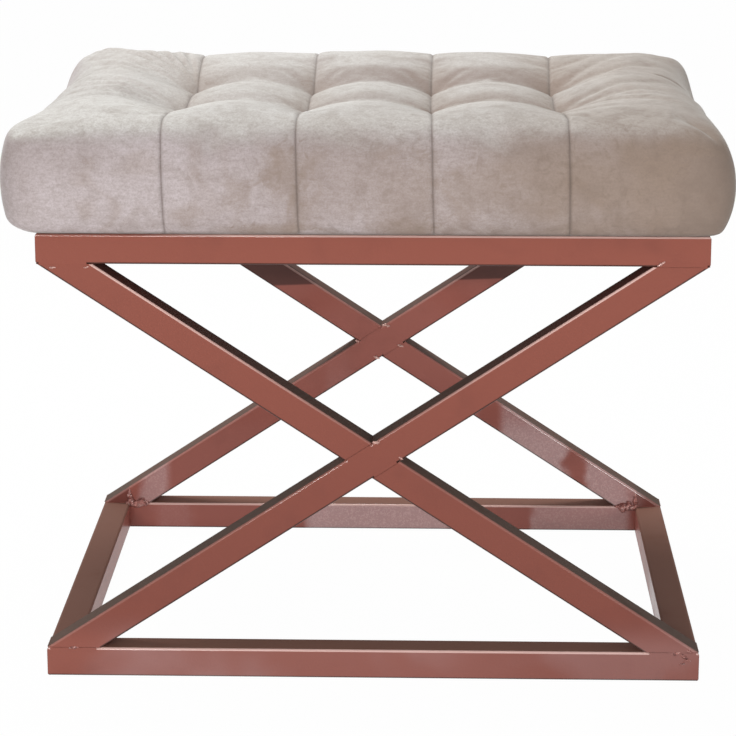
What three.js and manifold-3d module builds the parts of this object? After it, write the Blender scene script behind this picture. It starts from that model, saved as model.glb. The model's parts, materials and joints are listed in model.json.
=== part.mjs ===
// X frame stool: a welded square-tube frame under a tufted velvet seat.
// Millimetres, +Z up. The origin is on the floor under the middle of the frame;
// +X runs along the long side and the front faces -Y.
import * as THREE from 'three';
import { mergeVertices } from 'three/addons/utils/BufferGeometryUtils.js';
import Module from 'manifold-3d';

const wasm = await Module();
wasm.setup();

// Frame
const frameWidth = 540;
const frameDepth = 405;
const frameHeight = 377;
const tubeSize = 25;
const tubeWall = 1.2;
const tubeCornerRadius = 2.4;
const weldGap = 0.3;

// Seat
const seatHeight = 97;
const seatGap = 0.3;
const boardThickness = 15;
const boardOverhang = 1;
const boardCornerRadius = 10;
const liningThickness = 0.6;
const liningInset = 6;
const coverThickness = 1.8;
const hemWidth = 32;
const sideBulge = 19;
const bulgeHeight = 43;
const bulgeSquarenessShare = 0.8;
const topInset = 16;
const edgeRoll = 45;
const shortEdgeDrop = 6;
const longEdgeDrop = 3;
const middleDrop = 10;
const backDrop = 5;
const foamLap = 10;

// Tufting
const seatColumns = 5;
const seatRows = 3;
const tuftPitchX = 104;
const tuftPitchY = 116;
const tuftDepth = 20;
const columnSeamDepth = 10;
const rowSeamDepth = 7;
const sideSeamDepth = 2;
const crownReach = 110;
const crownSeamShare = 0.45;

// Screws up through the top rails into the board
const screwSpacing = 340;
const screwRadius = 2.4;
const screwBite = 11;
const screwTipLength = 4;
const screwHeadRadius = 5;
const screwHeadHeight = 2.8;
const screwClearance = 0.3;
const screwAccess = 1;

// Twine that holds each tuft down
const tieRadius = 1.2;
const knotRadius = 3.6;
const knotHeight = 1.2;

// Facets and cutting
const cornerSegments = 5;
const holeSegments = 12;
const hemHoleSegments = 8;
const sideRings = 4;
const columnSteps = 4;
const rowSteps = 3;
const endColumnShares = [0.34, 0.66, 0.9];
const endRowShares = [0.46, 0.9];
const overrun = 5;
const mergeTolerance = 1e-4;

// Heights in the seat, from the top rails up
const liningBottom = frameHeight + seatGap;
const hemBottom = liningBottom + liningThickness + seatGap;
const hemTop = hemBottom + coverThickness;
const boardBottom = hemTop + seatGap;
const boardTop = boardBottom + boardThickness;
const seatTop = frameHeight + seatHeight;
const bulgeLevel = frameHeight + bulgeHeight;

// Plan of the seat
const boardHalfX = frameWidth / 2 + boardOverhang;
const boardHalfY = frameDepth / 2 + boardOverhang;
const coverHalfX = boardHalfX + seatGap + coverThickness;
const coverHalfY = boardHalfY + seatGap + coverThickness;
const coverCornerRadius = boardCornerRadius + seatGap + coverThickness;
const topHalfX = coverHalfX - topInset;
const topHalfY = coverHalfY - topInset;
const tuftsX = gridLines(seatColumns - 1, tuftPitchX);
const tuftsY = gridLines(seatRows - 1, tuftPitchY);

const paint = { color: 0xa0604f, roughness: 0.36, metalness: 0.75 };
const velvet = { color: 0xb9aea4, roughness: 0.95, metalness: 0 };
const plywood = { color: 0xb8935f, roughness: 0.8, metalness: 0 };
const foam = { color: 0xe9e2c4, roughness: 1, metalness: 0 };
const blackCloth = { color: 0x1b1b1d, roughness: 1, metalness: 0 };
const zinc = { color: 0xb5b6b4, roughness: 0.4, metalness: 1 };
const twine = { color: 0xd8d2c2, roughness: 1, metalness: 0 };

function gridLines(count, pitch) {
  return Array.from({ length: count }, (_, i) => (i - (count - 1) / 2) * pitch);
}

// Turns a closed geometry into a solid that can be joined and cut.
function toSolid(geometry) {
  const bare = geometry.clone();
  bare.deleteAttribute('normal');
  bare.deleteAttribute('uv');
  const merged = mergeVertices(bare, mergeTolerance);
  const triVerts = [];
  for (let i = 0; i < merged.index.count; i += 3) {
    const [a, b, c] = [0, 1, 2].map((k) => merged.index.getX(i + k));
    if (a !== b && b !== c && c !== a) triVerts.push(a, b, c);
  }
  const vertProperties = Float32Array.from(merged.attributes.position.array);
  const mesh = new wasm.Mesh({ numProp: 3, vertProperties, triVerts: Uint32Array.from(triVerts) });
  return new wasm.Manifold(mesh);
}

function toGeometry(solid) {
  const { vertProperties, triVerts } = solid.getMesh();
  const geometry = new THREE.BufferGeometry();
  geometry.setAttribute('position', new THREE.BufferAttribute(Float32Array.from(vertProperties), 3));
  geometry.setIndex(new THREE.BufferAttribute(Uint32Array.from(triVerts), 1));
  geometry.computeVertexNormals();
  return geometry;
}

function addPiece(group, name, solid, look) {
  const mesh = new THREE.Mesh(toGeometry(solid), new THREE.MeshStandardMaterial(look));
  mesh.name = name;
  group.add(mesh);
  return mesh;
}

function box(sizeX, sizeY, sizeZ, x = 0, y = 0, z = 0) {
  return new THREE.BoxGeometry(sizeX, sizeY, sizeZ).translate(x, y, z);
}

// A solid of revolution about +Z from a profile of [radius, height] pairs, lowest first.
function turned(profile, segments) {
  const points = profile.map(([radius, height]) => new THREE.Vector2(radius, height));
  return new THREE.LatheGeometry(points, segments).rotateX(Math.PI / 2);
}

function pin(radius, bottom, top, segments = holeSegments) {
  return turned([[0, bottom], [radius, bottom], [radius, top], [0, top]], segments);
}

function roundedRectangle(path, halfX, halfY, radius) {
  path.moveTo(halfX - radius, -halfY);
  path.absarc(halfX - radius, -halfY + radius, radius, -Math.PI / 2, 0, false);
  path.absarc(halfX - radius, halfY - radius, radius, 0, Math.PI / 2, false);
  path.absarc(-halfX + radius, halfY - radius, radius, Math.PI / 2, Math.PI, false);
  path.absarc(-halfX + radius, -halfY + radius, radius, Math.PI, Math.PI * 1.5, false);
  return path;
}

// A length of the square tube along X, centred on the origin and open at both ends.
function tube(length) {
  const half = tubeSize / 2;
  const boreHalf = half - tubeWall;
  const boreRadius = Math.max(tubeCornerRadius - tubeWall, tubeCornerRadius / 4);
  const shape = roundedRectangle(new THREE.Shape(), half, half, tubeCornerRadius);
  shape.holes.push(roundedRectangle(new THREE.Path(), boreHalf, boreHalf, boreRadius));
  const settings = { depth: length, bevelEnabled: false, curveSegments: cornerSegments };
  return new THREE.ExtrudeGeometry(shape, settings).translate(0, 0, -length / 2).rotateY(Math.PI / 2);
}

// A rail along X with its ends mitred so that its outer face, toward -Y, is the longest.
function mitredRail(length) {
  const half = tubeSize / 2;
  const outer = length / 2 - weldGap / Math.SQRT2;
  const inner = outer - tubeSize;
  const plan = new THREE.Shape();
  plan.moveTo(-outer - overrun, -half - overrun);
  plan.lineTo(outer + overrun, -half - overrun);
  plan.lineTo(inner - overrun, half + overrun);
  plan.lineTo(-inner + overrun, half + overrun);
  const depth = tubeSize + 2 * overrun;
  const prism = new THREE.ExtrudeGeometry(plan, { depth, bevelEnabled: false });
  return toSolid(tube(length)).intersect(toSolid(prism.translate(0, 0, -depth / 2)));
}

// Screw places, on the centre lines of the top rails.
const railLineX = frameWidth / 2 - tubeSize / 2;
const railLineY = frameDepth / 2 - tubeSize / 2;
const screwPlaces = [
  [-screwSpacing / 2, -railLineY], [screwSpacing / 2, -railLineY],
  [-screwSpacing / 2, railLineY], [screwSpacing / 2, railLineY],
  [-railLineX, 0], [railLineX, 0],
];

function drill(solid, places, radius, bottom, top, segments = holeSegments) {
  const tool = toSolid(pin(radius, bottom, top, segments));
  return places.reduce((left, [x, y]) => left.subtract(tool.translate([x, y, 0])), solid);
}

// Rings of four mitred rails at the floor and under the seat. The upper ring has a screw hole
// in its top wall over a wider access hole in its bottom wall at each screw.
function railRing(prefix, centreHeight, drilled) {
  const ring = new THREE.Group();
  const sides = [
    ['front', frameWidth, 0, -railLineY, 0],
    ['right', frameDepth, railLineX, 0, 90],
    ['back', frameWidth, 0, railLineY, 180],
    ['left', frameDepth, -railLineX, 0, 270],
  ];
  for (const [side, length, x, y, turn] of sides) {
    let rail = mitredRail(length).rotate([0, 0, turn]).translate([x, y, centreHeight]);
    if (drilled) {
      const half = tubeSize / 2 + overrun;
      rail = drill(rail, screwPlaces, screwRadius + screwClearance, centreHeight, centreHeight + half);
      rail = drill(rail, screwPlaces, screwHeadRadius + screwAccess, centreHeight - half, centreHeight);
    }
    addPiece(ring, `${prefix}_${side}_rail`, rail, paint);
  }
  return ring;
}

// The slope at which a bar runs from under one top corner to above the far bottom corner,
// with its outer edges ending exactly at those corners.
const crossRise = frameHeight - 2 * tubeSize;
const crossReach = Math.hypot(frameWidth, crossRise);
const crossAngle = Math.atan2(crossRise, frameWidth) + Math.asin(tubeSize / crossReach);

// One X of three bars in the plane of a long side: one bar runs through from bottom left
// to top right, and the other diagonal is two half bars coped against it.
function crossSet(prefix, centreY) {
  const cross = new THREE.Group();
  const length = crossReach + 4 * tubeSize;
  const centreHeight = frameHeight / 2;
  const clearHeight = crossRise - 2 * weldGap;
  const slab = toSolid(box(2 * frameWidth, 2 * tubeSize, clearHeight, 0, centreY, centreHeight));
  const bar = (angle) =>
    toSolid(tube(length).rotateY(angle).translate(0, centreY, centreHeight)).intersect(slab);
  const side = (sign) => {
    const block = box(length, 2 * tubeSize, length, 0, 0, sign * (length / 2 + tubeSize / 2 + weldGap));
    return toSolid(block.rotateY(-crossAngle).translate(0, centreY, centreHeight));
  };
  addPiece(cross, `${prefix}_cross_through`, bar(-crossAngle), paint);
  addPiece(cross, `${prefix}_cross_upper_half`, bar(crossAngle).intersect(side(1)), paint);
  addPiece(cross, `${prefix}_cross_lower_half`, bar(crossAngle).intersect(side(-1)), paint);
  return cross;
}

// Grid lines across the seat: the seams, the steps between them and the two edges.
function seatLines(seams, half, steps, endShares) {
  const last = seams[seams.length - 1];
  const middle = [];
  for (let i = 0; i + 1 < seams.length; i += 1) {
    for (let k = 0; k < steps; k += 1) middle.push(THREE.MathUtils.lerp(seams[i], seams[i + 1], k / steps));
  }
  const end = endShares.map((share) => THREE.MathUtils.lerp(last, half, share));
  return [-half, ...end.map((v) => -v).reverse(), ...middle, last, ...end, half];
}

// How far a place has risen from the nearest seam, from 0 on the seam to 1 at the crest.
// Past the outermost seams it may rise more slowly than between them.
function puff(value, seams, pitch, endReach = pitch / 2) {
  const nearest = Math.min(...seams.map((seam) => Math.abs(value - seam)));
  const reach = beyond(value, seams) > 0 ? endReach : pitch / 2;
  return 1 - (1 - Math.min(1, nearest / reach)) ** 2;
}

// How far a place lies outside the outermost seams.
function beyond(value, seams) {
  return Math.max(0, Math.abs(value) - seams[seams.length - 1]);
}

const lineX = seatLines(tuftsX, topHalfX, columnSteps, endColumnShares);
const lineY = seatLines(tuftsY, topHalfY, rowSteps, endRowShares);

// The top's height: fields puffed up between the seams and a pit at each tuft. The middle row
// lies lower than the crowns near the long edges, of which the front one is the higher. The
// seams across the seat grow shallow there, and the seams along it die out past the end tufts.
function topHeight(x, y) {
  const fade = 1 - Math.min(1, beyond(x, tuftsX) / (tuftPitchX / 2));
  const crown = Math.min(1, beyond(y, tuftsY) / crownReach);
  const sinkX = 1 - puff(x, tuftsX, tuftPitchX);
  const sinkY = (1 - puff(y, tuftsY, tuftPitchY, crownReach)) * fade;
  const columnSeam = columnSeamDepth * THREE.MathUtils.lerp(1, crownSeamShare, crown) * sinkX * (1 - sinkY);
  const rowSeam = rowSeamDepth * sinkY * (1 - sinkX);
  const middle = middleDrop * (1 - Math.min(1, Math.abs(y) / tuftPitchY) ** 2);
  const back = (backDrop * (1 + y / topHalfY)) / 2;
  const roll = shortEdgeDrop * edgeShare(x, topHalfX) ** 2 + longEdgeDrop * edgeShare(y, topHalfY) ** 2;
  return seatTop - tuftDepth * sinkX * sinkY - columnSeam - rowSeam - middle - back - roll;
}

// How far a place is into the rolled edge, from 0 at its start to 1 at the rim.
function edgeShare(value, half) {
  return Math.max(0, Math.abs(value) - (half - edgeRoll)) / edgeRoll;
}

// A place on one side of the top, moved for a side of another length. Only the parts past the
// outermost seams stretch, so every seam runs straight down.
function spread(value, seams, half, newHalf) {
  const outer = half - seams[seams.length - 1];
  return value + (Math.sign(value) * (newHalf - half) * beyond(value, seams)) / outer;
}

// The edge place of a grid point on a rectangle with rounded corners, and its outward way.
function edgePlace([i, j], halfX, halfY, radius) {
  const x = spread(lineX[i], tuftsX, topHalfX, halfX);
  const y = spread(lineY[j], tuftsY, topHalfY, halfY);
  const core = new THREE.Vector2(
    THREE.MathUtils.clamp(x, radius - halfX, halfX - radius),
    THREE.MathUtils.clamp(y, radius - halfY, halfY - radius),
  );
  const outward = new THREE.Vector2(x, y).sub(core).normalize();
  return { spot: core.addScaledVector(outward, radius), outward };
}

// Grid places round the edge of the seat, anticlockwise from the front left corner.
const columnsTotal = lineX.length - 1;
const rowsTotal = lineY.length - 1;
const edgeRound = [];
for (let i = 0; i < columnsTotal; i += 1) edgeRound.push([i, 0]);
for (let j = 0; j < rowsTotal; j += 1) edgeRound.push([columnsTotal, j]);
for (let i = columnsTotal; i > 0; i -= 1) edgeRound.push([i, rowsTotal]);
for (let j = rowsTotal; j > 0; j -= 1) edgeRound.push([0, j]);

// A flat panel lying on the height bottom, with the seat's outline.
function panel(halfX, halfY, radius, bottom, thickness) {
  const outline = edgeRound.map((place) => edgePlace(place, halfX, halfY, radius).spot);
  const shape = new THREE.Shape(outline);
  return new THREE.ExtrudeGeometry(shape, { depth: thickness, bevelEnabled: false }).translate(0, 0, bottom);
}

// The outer skin of the seat: a tufted top and bulging sides down to the hem.
// It gives its points, its triangles and the point numbers of its open bottom edge.
function seatSkin() {
  const points = [];
  const triangles = [];
  const at = (i, j) => j * (columnsTotal + 1) + i;
  const topPlace = (place) => edgePlace(place, topHalfX, topHalfY, coverCornerRadius).spot;
  for (let j = 0; j <= rowsTotal; j += 1) {
    for (let i = 0; i <= columnsTotal; i += 1) {
      const onEdge = i === 0 || j === 0 || i === columnsTotal || j === rowsTotal;
      const spot = onEdge ? topPlace([i, j]) : new THREE.Vector2(lineX[i], lineY[j]);
      points.push(new THREE.Vector3(spot.x, spot.y, topHeight(lineX[i], lineY[j])));
      if (i < columnsTotal && j < rowsTotal) {
        const corners = [at(i, j), at(i + 1, j), at(i + 1, j + 1), at(i, j + 1)];
        const mirrored = (i < columnsTotal / 2) === (j < rowsTotal / 2);
        const order = mirrored ? [0, 1, 2, 0, 2, 3] : [0, 1, 3, 1, 2, 3];
        triangles.push(...order.map((k) => corners[k]));
      }
    }
  }
  let ring = edgeRound.map(([i, j]) => at(i, j));
  for (let k = 1; k <= sideRings; k += 1) {
    const next = edgeRound.map((place) => {
      points.push(sidePoint(place, (Math.PI * k) / sideRings, topPlace(place)));
      return points.length - 1;
    });
    stitch(triangles, ring, next);
    ring = next;
  }
  return { points, triangles, ring };
}

// A point on the seat's side, from its top edge at angle 0, out at the bulge and in again
// to the bottom edge at a half turn. The seams draw the long sides in a little.
function sidePoint([i, j], angle, topSpot) {
  const { spot: bottomSpot, outward } = edgePlace([i, j], coverHalfX, coverHalfY, coverCornerRadius);
  const facesY = Math.abs(outward.y) > Math.abs(outward.x);
  const atSeam = facesY ? 1 - puff(lineX[i], tuftsX, tuftPitchX) : 0;
  const out = sideBulge - sideSeamDepth * atSeam;
  const bulgeSpot = edgePlace([i, j], coverHalfX + out, coverHalfY + out, coverCornerRadius + out).spot;
  const upper = Math.cos(angle) > 0;
  const reach = Math.abs(Math.sin(angle)) ** bulgeSquarenessShare;
  const lift = Math.sign(Math.cos(angle)) * Math.abs(Math.cos(angle)) ** bulgeSquarenessShare;
  const spot = (upper ? topSpot : bottomSpot).clone().lerp(bulgeSpot, reach);
  const rise = upper ? topHeight(lineX[i], lineY[j]) - bulgeLevel : bulgeLevel - hemBottom;
  return new THREE.Vector3(spot.x, spot.y, bulgeLevel + rise * lift);
}

// Triangles between two rings of equal count, the second one below or inside the first.
function stitch(triangles, upper, lower) {
  for (let k = 0; k < upper.length; k += 1) {
    const n = (k + 1) % upper.length;
    triangles.push(upper[k], lower[k], lower[n], upper[k], lower[n], upper[n]);
  }
}

function skinGeometry(points, triangles) {
  const geometry = new THREE.BufferGeometry().setFromPoints(points);
  geometry.setIndex(triangles);
  geometry.computeVertexNormals();
  return geometry;
}

// The skin's points moved in along their normals, with the bottom edge set level.
function movedIn(skin, distance, floor) {
  const normals = skinGeometry(skin.points, skin.triangles).attributes.normal;
  const moved = skin.points.map((point, i) =>
    point.clone().addScaledVector(new THREE.Vector3().fromBufferAttribute(normals, i), -distance));
  skin.ring.forEach((index, k) => {
    const inset = [coverHalfX - distance, coverHalfY - distance, coverCornerRadius - distance];
    const { spot } = edgePlace(edgeRound[k], ...inset);
    moved[index].set(spot.x, spot.y, floor);
  });
  return moved;
}

// The velvet cover: one sewn skin, turned in under the board's edge and open beneath.
function velvetCover(skin) {
  const inner = movedIn(skin, coverThickness, hemTop);
  const count = skin.points.length;
  const points = [...skin.points, ...inner];
  const triangles = [...skin.triangles];
  for (let k = 0; k < skin.triangles.length; k += 3) {
    const [a, b, c] = skin.triangles.slice(k, k + 3);
    triangles.push(a + count, c + count, b + count);
  }
  const hemRing = (height) => edgeRound.map((place) => {
    const { spot } = edgePlace(place, coverHalfX - hemWidth, coverHalfY - hemWidth, coverThickness);
    points.push(new THREE.Vector3(spot.x, spot.y, height));
    return points.length - 1;
  });
  const hemUnder = hemRing(hemBottom);
  const hemOver = hemRing(hemTop);
  stitch(triangles, skin.ring, hemUnder);
  stitch(triangles, hemUnder, hemOver);
  stitch(triangles, hemOver, skin.ring.map((index) => index + count));
  const shell = toSolid(skinGeometry(points, triangles));
  const radius = screwRadius + screwClearance;
  return drill(shell, screwPlaces, radius, hemBottom - overrun, boardBottom, hemHoleSegments);
}

const tuftPlaces = tuftsY.flatMap((y) => tuftsX.map((x) => [x, y]));

// The foam pad fills the cover and laps down over the board's edge.
function foamPad(skin) {
  const points = movedIn(skin, coverThickness + seatGap, boardBottom);
  const triangles = [...skin.triangles];
  points.push(new THREE.Vector3(0, 0, boardBottom));
  const centre = points.length - 1;
  skin.ring.forEach((index, k) => triangles.push(index, centre, skin.ring[(k + 1) % skin.ring.length]));
  const lapBottom = boardTop - foamLap;
  const spare = 2 * (coverHalfX + sideBulge);
  const below = toSolid(box(spare, spare, foamLap + boardThickness, 0, 0, lapBottom - (foamLap + boardThickness) / 2));
  const halfX = boardHalfX + seatGap;
  const halfY = boardHalfY + seatGap;
  const seat = panel(halfX, halfY, boardCornerRadius + seatGap, boardBottom - overrun, boardThickness + overrun + seatGap);
  const pad = toSolid(skinGeometry(points, triangles)).subtract(below).subtract(toSolid(seat));
  return drill(pad, tuftPlaces, tieRadius + seatGap, boardBottom - overrun, seatTop + overrun, hemHoleSegments);
}

// The plywood board, with a blind bore for each screw and a hole for each tie.
function seatBoard() {
  const board = toSolid(panel(boardHalfX, boardHalfY, boardCornerRadius, boardBottom, boardThickness));
  const tied = drill(board, tuftPlaces, tieRadius + seatGap, boardBottom - overrun, boardTop + overrun);
  const boreTop = boardBottom + screwBite + screwClearance;
  return drill(tied, screwPlaces, screwRadius + screwClearance, boardBottom - overrun, boreTop);
}

// The thin lining under the seat, caught between the board and the rails.
function underLining() {
  const inset = [boardHalfX - liningInset, boardHalfY - liningInset, boardCornerRadius - liningInset / 2];
  const sheet = toSolid(panel(...inset, liningBottom, liningThickness));
  const radius = screwRadius + screwClearance;
  return drill(sheet, screwPlaces, radius, liningBottom - overrun, liningBottom + overrun);
}

// A pan-head screw pointing up, with its head inside the rail against the top wall.
function seatScrew() {
  const seat = frameHeight - tubeWall - screwClearance;
  const tip = boardBottom + screwBite;
  return toSolid(turned([
    [0, seat - screwHeadHeight],
    [screwHeadRadius * 0.7, seat - screwHeadHeight],
    [screwHeadRadius, seat - screwHeadHeight / 2],
    [screwHeadRadius, seat],
    [screwRadius, seat],
    [screwRadius, tip - screwTipLength],
    [0, tip],
  ], holeSegments));
}

// Twine from a knot under the board up to the underside of the cover at a tuft.
function tuftTie(top) {
  const knotTop = boardBottom - seatGap;
  return toSolid(turned([
    [0, knotTop - knotHeight],
    [knotRadius, knotTop - knotHeight],
    [knotRadius, knotTop],
    [tieRadius, knotTop],
    [tieRadius, top],
    [0, top],
  ], hemHoleSegments));
}

const stool = new THREE.Group();
stool.name = 'x_frame_stool';
stool.add(railRing('base', tubeSize / 2, false));
stool.add(railRing('top', frameHeight - tubeSize / 2, true));
stool.add(crossSet('front', -railLineY));
stool.add(crossSet('back', railLineY));

const seat = new THREE.Group();
const skin = seatSkin();
addPiece(seat, 'seat_board', seatBoard(), plywood);
addPiece(seat, 'foam_pad', foamPad(skin), foam);
addPiece(seat, 'velvet_cover', velvetCover(skin), velvet);
addPiece(seat, 'seat_lining', underLining(), blackCloth);
stool.add(seat);

const screws = new THREE.Group();
screwPlaces.forEach(([x, y], n) => {
  addPiece(screws, `seat_screw_${n + 1}`, seatScrew(), zinc).position.set(x, y, 0);
});
stool.add(screws);

const ties = new THREE.Group();
tuftPlaces.forEach(([x, y], n) => {
  const tieTop = topHeight(x, y) - coverThickness - 2 * seatGap;
  addPiece(ties, `tuft_tie_${n + 1}`, tuftTie(tieTop), twine).position.set(x, y, 0);
});
stool.add(ties);

export default stool;
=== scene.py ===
"""X frame stool: the looks of a welded square-tube stool with a tufted velvet seat.

Metres, +Z up, the front faces -Y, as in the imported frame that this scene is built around.
"""
import sys
import json
import logging
import math
from contextlib import contextmanager
from dataclasses import dataclass, field
from enum import Enum
from functools import partial, reduce
from typing import Callable, Iterator, Sequence, Union

import bmesh
import bpy
import numpy as np
from mathutils import Matrix, Vector

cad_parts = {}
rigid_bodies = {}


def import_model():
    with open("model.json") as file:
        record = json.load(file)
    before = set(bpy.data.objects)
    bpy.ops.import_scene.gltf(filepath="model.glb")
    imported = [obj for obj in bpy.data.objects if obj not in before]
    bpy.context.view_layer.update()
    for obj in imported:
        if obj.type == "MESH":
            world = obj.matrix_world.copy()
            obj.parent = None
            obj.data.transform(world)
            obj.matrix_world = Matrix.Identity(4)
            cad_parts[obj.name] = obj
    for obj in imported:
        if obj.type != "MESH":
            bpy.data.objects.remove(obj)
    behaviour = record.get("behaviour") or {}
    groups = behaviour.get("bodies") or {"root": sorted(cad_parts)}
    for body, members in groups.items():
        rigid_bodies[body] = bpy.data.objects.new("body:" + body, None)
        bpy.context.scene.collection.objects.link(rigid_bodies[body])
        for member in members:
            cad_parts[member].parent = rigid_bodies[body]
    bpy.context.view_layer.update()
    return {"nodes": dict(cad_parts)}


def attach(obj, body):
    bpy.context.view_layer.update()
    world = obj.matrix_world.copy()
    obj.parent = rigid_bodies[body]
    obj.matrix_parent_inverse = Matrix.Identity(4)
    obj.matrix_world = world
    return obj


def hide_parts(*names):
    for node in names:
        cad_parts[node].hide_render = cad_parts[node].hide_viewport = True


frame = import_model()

LOG = logging.getLogger("x_frame_stool")
BODY = "root"
FRONT_AND_BACK = ((-1, "front"), (1, "back"))
LEFT_AND_RIGHT = ((-1, "left"), (1, "right"))
WHITE = (1.0, 1.0, 1.0, 1.0)

Place = tuple[float, float, float]
Colour = tuple[float, float, float]
Span = tuple[float, float]
Knots = tuple[Span, ...]
Piece = bpy.types.Object
Material = bpy.types.Material
Socket = bpy.types.NodeSocket
Value = Union[Socket, float]
Tone = Union[Socket, Colour]


# Sizes of the frame, as in the imported model


@dataclass(frozen=True)
class FrameSizes:
    """The welded frame's main sizes, in metres."""

    width: float = 0.540
    depth: float = 0.405
    height: float = 0.377
    tube: float = 0.025
    corner: float = 0.0024
    gap: float = 0.0003

    @property
    def rail_x(self) -> float:
        """How far the side rails' centre lines stand from the middle."""
        return (self.width - self.tube) / 2

    @property
    def rail_y(self) -> float:
        """How far the long rails' centre lines stand from the middle."""
        return (self.depth - self.tube) / 2

    @property
    def cross_rise(self) -> float:
        """The clear height between the two rings of rails."""
        return self.height - 2 * self.tube

    @property
    def cross_angle(self) -> float:
        """The slope of a crossing bar, in radians."""
        reach = math.hypot(self.width, self.cross_rise)
        return math.atan2(self.cross_rise, self.width) + math.asin(self.tube / reach)

    @property
    def footprint(self) -> float:
        """The length of the slanting cut where a crossing bar lands on a rail."""
        return self.tube / math.sin(self.cross_angle)

    @property
    def crossing_cut(self) -> float:
        """The length of the slanting cut where a half bar meets the through bar."""
        return self.tube / math.sin(2 * self.cross_angle)


SIZES = FrameSizes()


# Modelling steps that the pieces share


def deselect_all() -> None:
    """Leaves object mode with nothing selected."""
    if bpy.context.object and bpy.context.object.mode != "OBJECT":
        bpy.ops.object.mode_set(mode="OBJECT")
    bpy.ops.object.select_all(action="DESELECT")


def make_active(piece: Piece) -> None:
    """Selects one object alone and makes it the active one.

    Args:
        piece: The object.
    """
    deselect_all()
    piece.select_set(True)
    bpy.context.view_layer.objects.active = piece


@contextmanager
def edit_mode(piece: Piece) -> Iterator[bmesh.types.BMesh]:
    """Opens a piece in edit mode with nothing selected.

    Args:
        piece: The mesh object to shape.

    Returns:
        The edit mesh, for selecting by place or normal.
    """
    make_active(piece)
    bpy.ops.object.mode_set(mode="EDIT")
    bpy.ops.mesh.select_mode(type="FACE")
    bpy.ops.mesh.select_all(action="DESELECT")
    yield bmesh.from_edit_mesh(piece.data)
    bpy.ops.object.mode_set(mode="OBJECT")


def select_only(mesh: bmesh.types.BMesh, parts: Sequence, test: Callable[[object], bool]) -> None:
    """Selects the faces or edges that pass a test, and no others.

    Args:
        mesh: The open edit mesh.
        parts: Its faces or its edges.
        test: Says whether a face or an edge is wanted.
    """
    for part in parts:
        part.select_set(False)
    for part in parts:
        if test(part):
            part.select_set(True)
    mesh.select_flush_mode()


def apply_place(piece: Piece) -> None:
    """Moves an object's place, turn and scale into its mesh."""
    make_active(piece)
    bpy.ops.object.transform_apply(location=True, rotation=True, scale=True)


def apply_modifier(piece: Piece, kind: str, **settings) -> None:
    """Adds one modifier and applies it at once.

    Args:
        piece: The mesh object.
        kind: The modifier's type.
        **settings: Its settings by name.
    """
    make_active(piece)
    modifier = piece.modifiers.new(kind.title(), kind)
    for key, value in settings.items():
        setattr(modifier, key, value)
    bpy.ops.object.modifier_apply(modifier=modifier.name)


def named(piece: Piece, name: str) -> Piece:
    """Names an object and its mesh alike.

    Args:
        piece: The object.
        name: The name for both.

    Returns:
        The same object.
    """
    piece.name = name
    piece.data.name = name
    return piece


def copy_piece(piece: Piece, name: str, move: Matrix) -> Piece:
    """Copies a finished piece with its own mesh.

    Args:
        piece: The piece modelled once.
        name: The copy's name.
        move: Where the copy goes, applied to its mesh.

    Returns:
        The copy, placed by its mesh, with its faces pointing outwards.
    """
    twin = piece.copy()
    twin.data = piece.data.copy()
    bpy.context.scene.collection.objects.link(twin)
    twin.data.transform(move)
    if move.determinant() < 0:
        twin.data.flip_normals()
    return named(twin, name)


def dress(piece: Piece, material: Material) -> None:
    """Gives every face of a piece one material."""
    piece.data.materials.clear()
    piece.data.materials.append(material)


def carry(piece: Piece) -> None:
    """Lets a piece ride on the stool."""
    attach(piece, BODY)


def smooth(piece: Piece, degrees: float) -> None:
    """Shades a piece smooth except across edges sharper than an angle."""
    make_active(piece)
    bpy.ops.object.shade_smooth_by_angle(angle=math.radians(degrees))


def read_points(piece: Piece) -> np.ndarray:
    """Gives a mesh's points as an array of rows.

    Args:
        piece: The mesh object.

    Returns:
        One row of three numbers for each point.
    """
    flat = np.zeros(len(piece.data.vertices) * 3, np.float32)
    piece.data.vertices.foreach_get("co", flat)
    return flat.reshape(-1, 3).astype(float)


def write_points(piece: Piece, points: np.ndarray) -> None:
    """Moves a mesh's points to the rows of an array."""
    piece.data.vertices.foreach_set("co", points.astype(np.float32).ravel())
    piece.data.update()


def corner_points(mesh: bpy.types.Mesh) -> np.ndarray:
    """Lists the point at each face corner of a mesh.

    Args:
        mesh: The mesh.

    Returns:
        The points' numbers, in the order of the corners.
    """
    numbers = np.zeros(len(mesh.loops), np.int32)
    mesh.loops.foreach_get("vertex_index", numbers)
    return numbers


# Node trees


def opaque(colour: Tone) -> Union[Socket, tuple[float, ...]]:
    """Gives a colour its fourth number, and passes anything else through."""
    return (*colour, 1.0) if isinstance(colour, tuple) and len(colour) == 3 else colour


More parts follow.
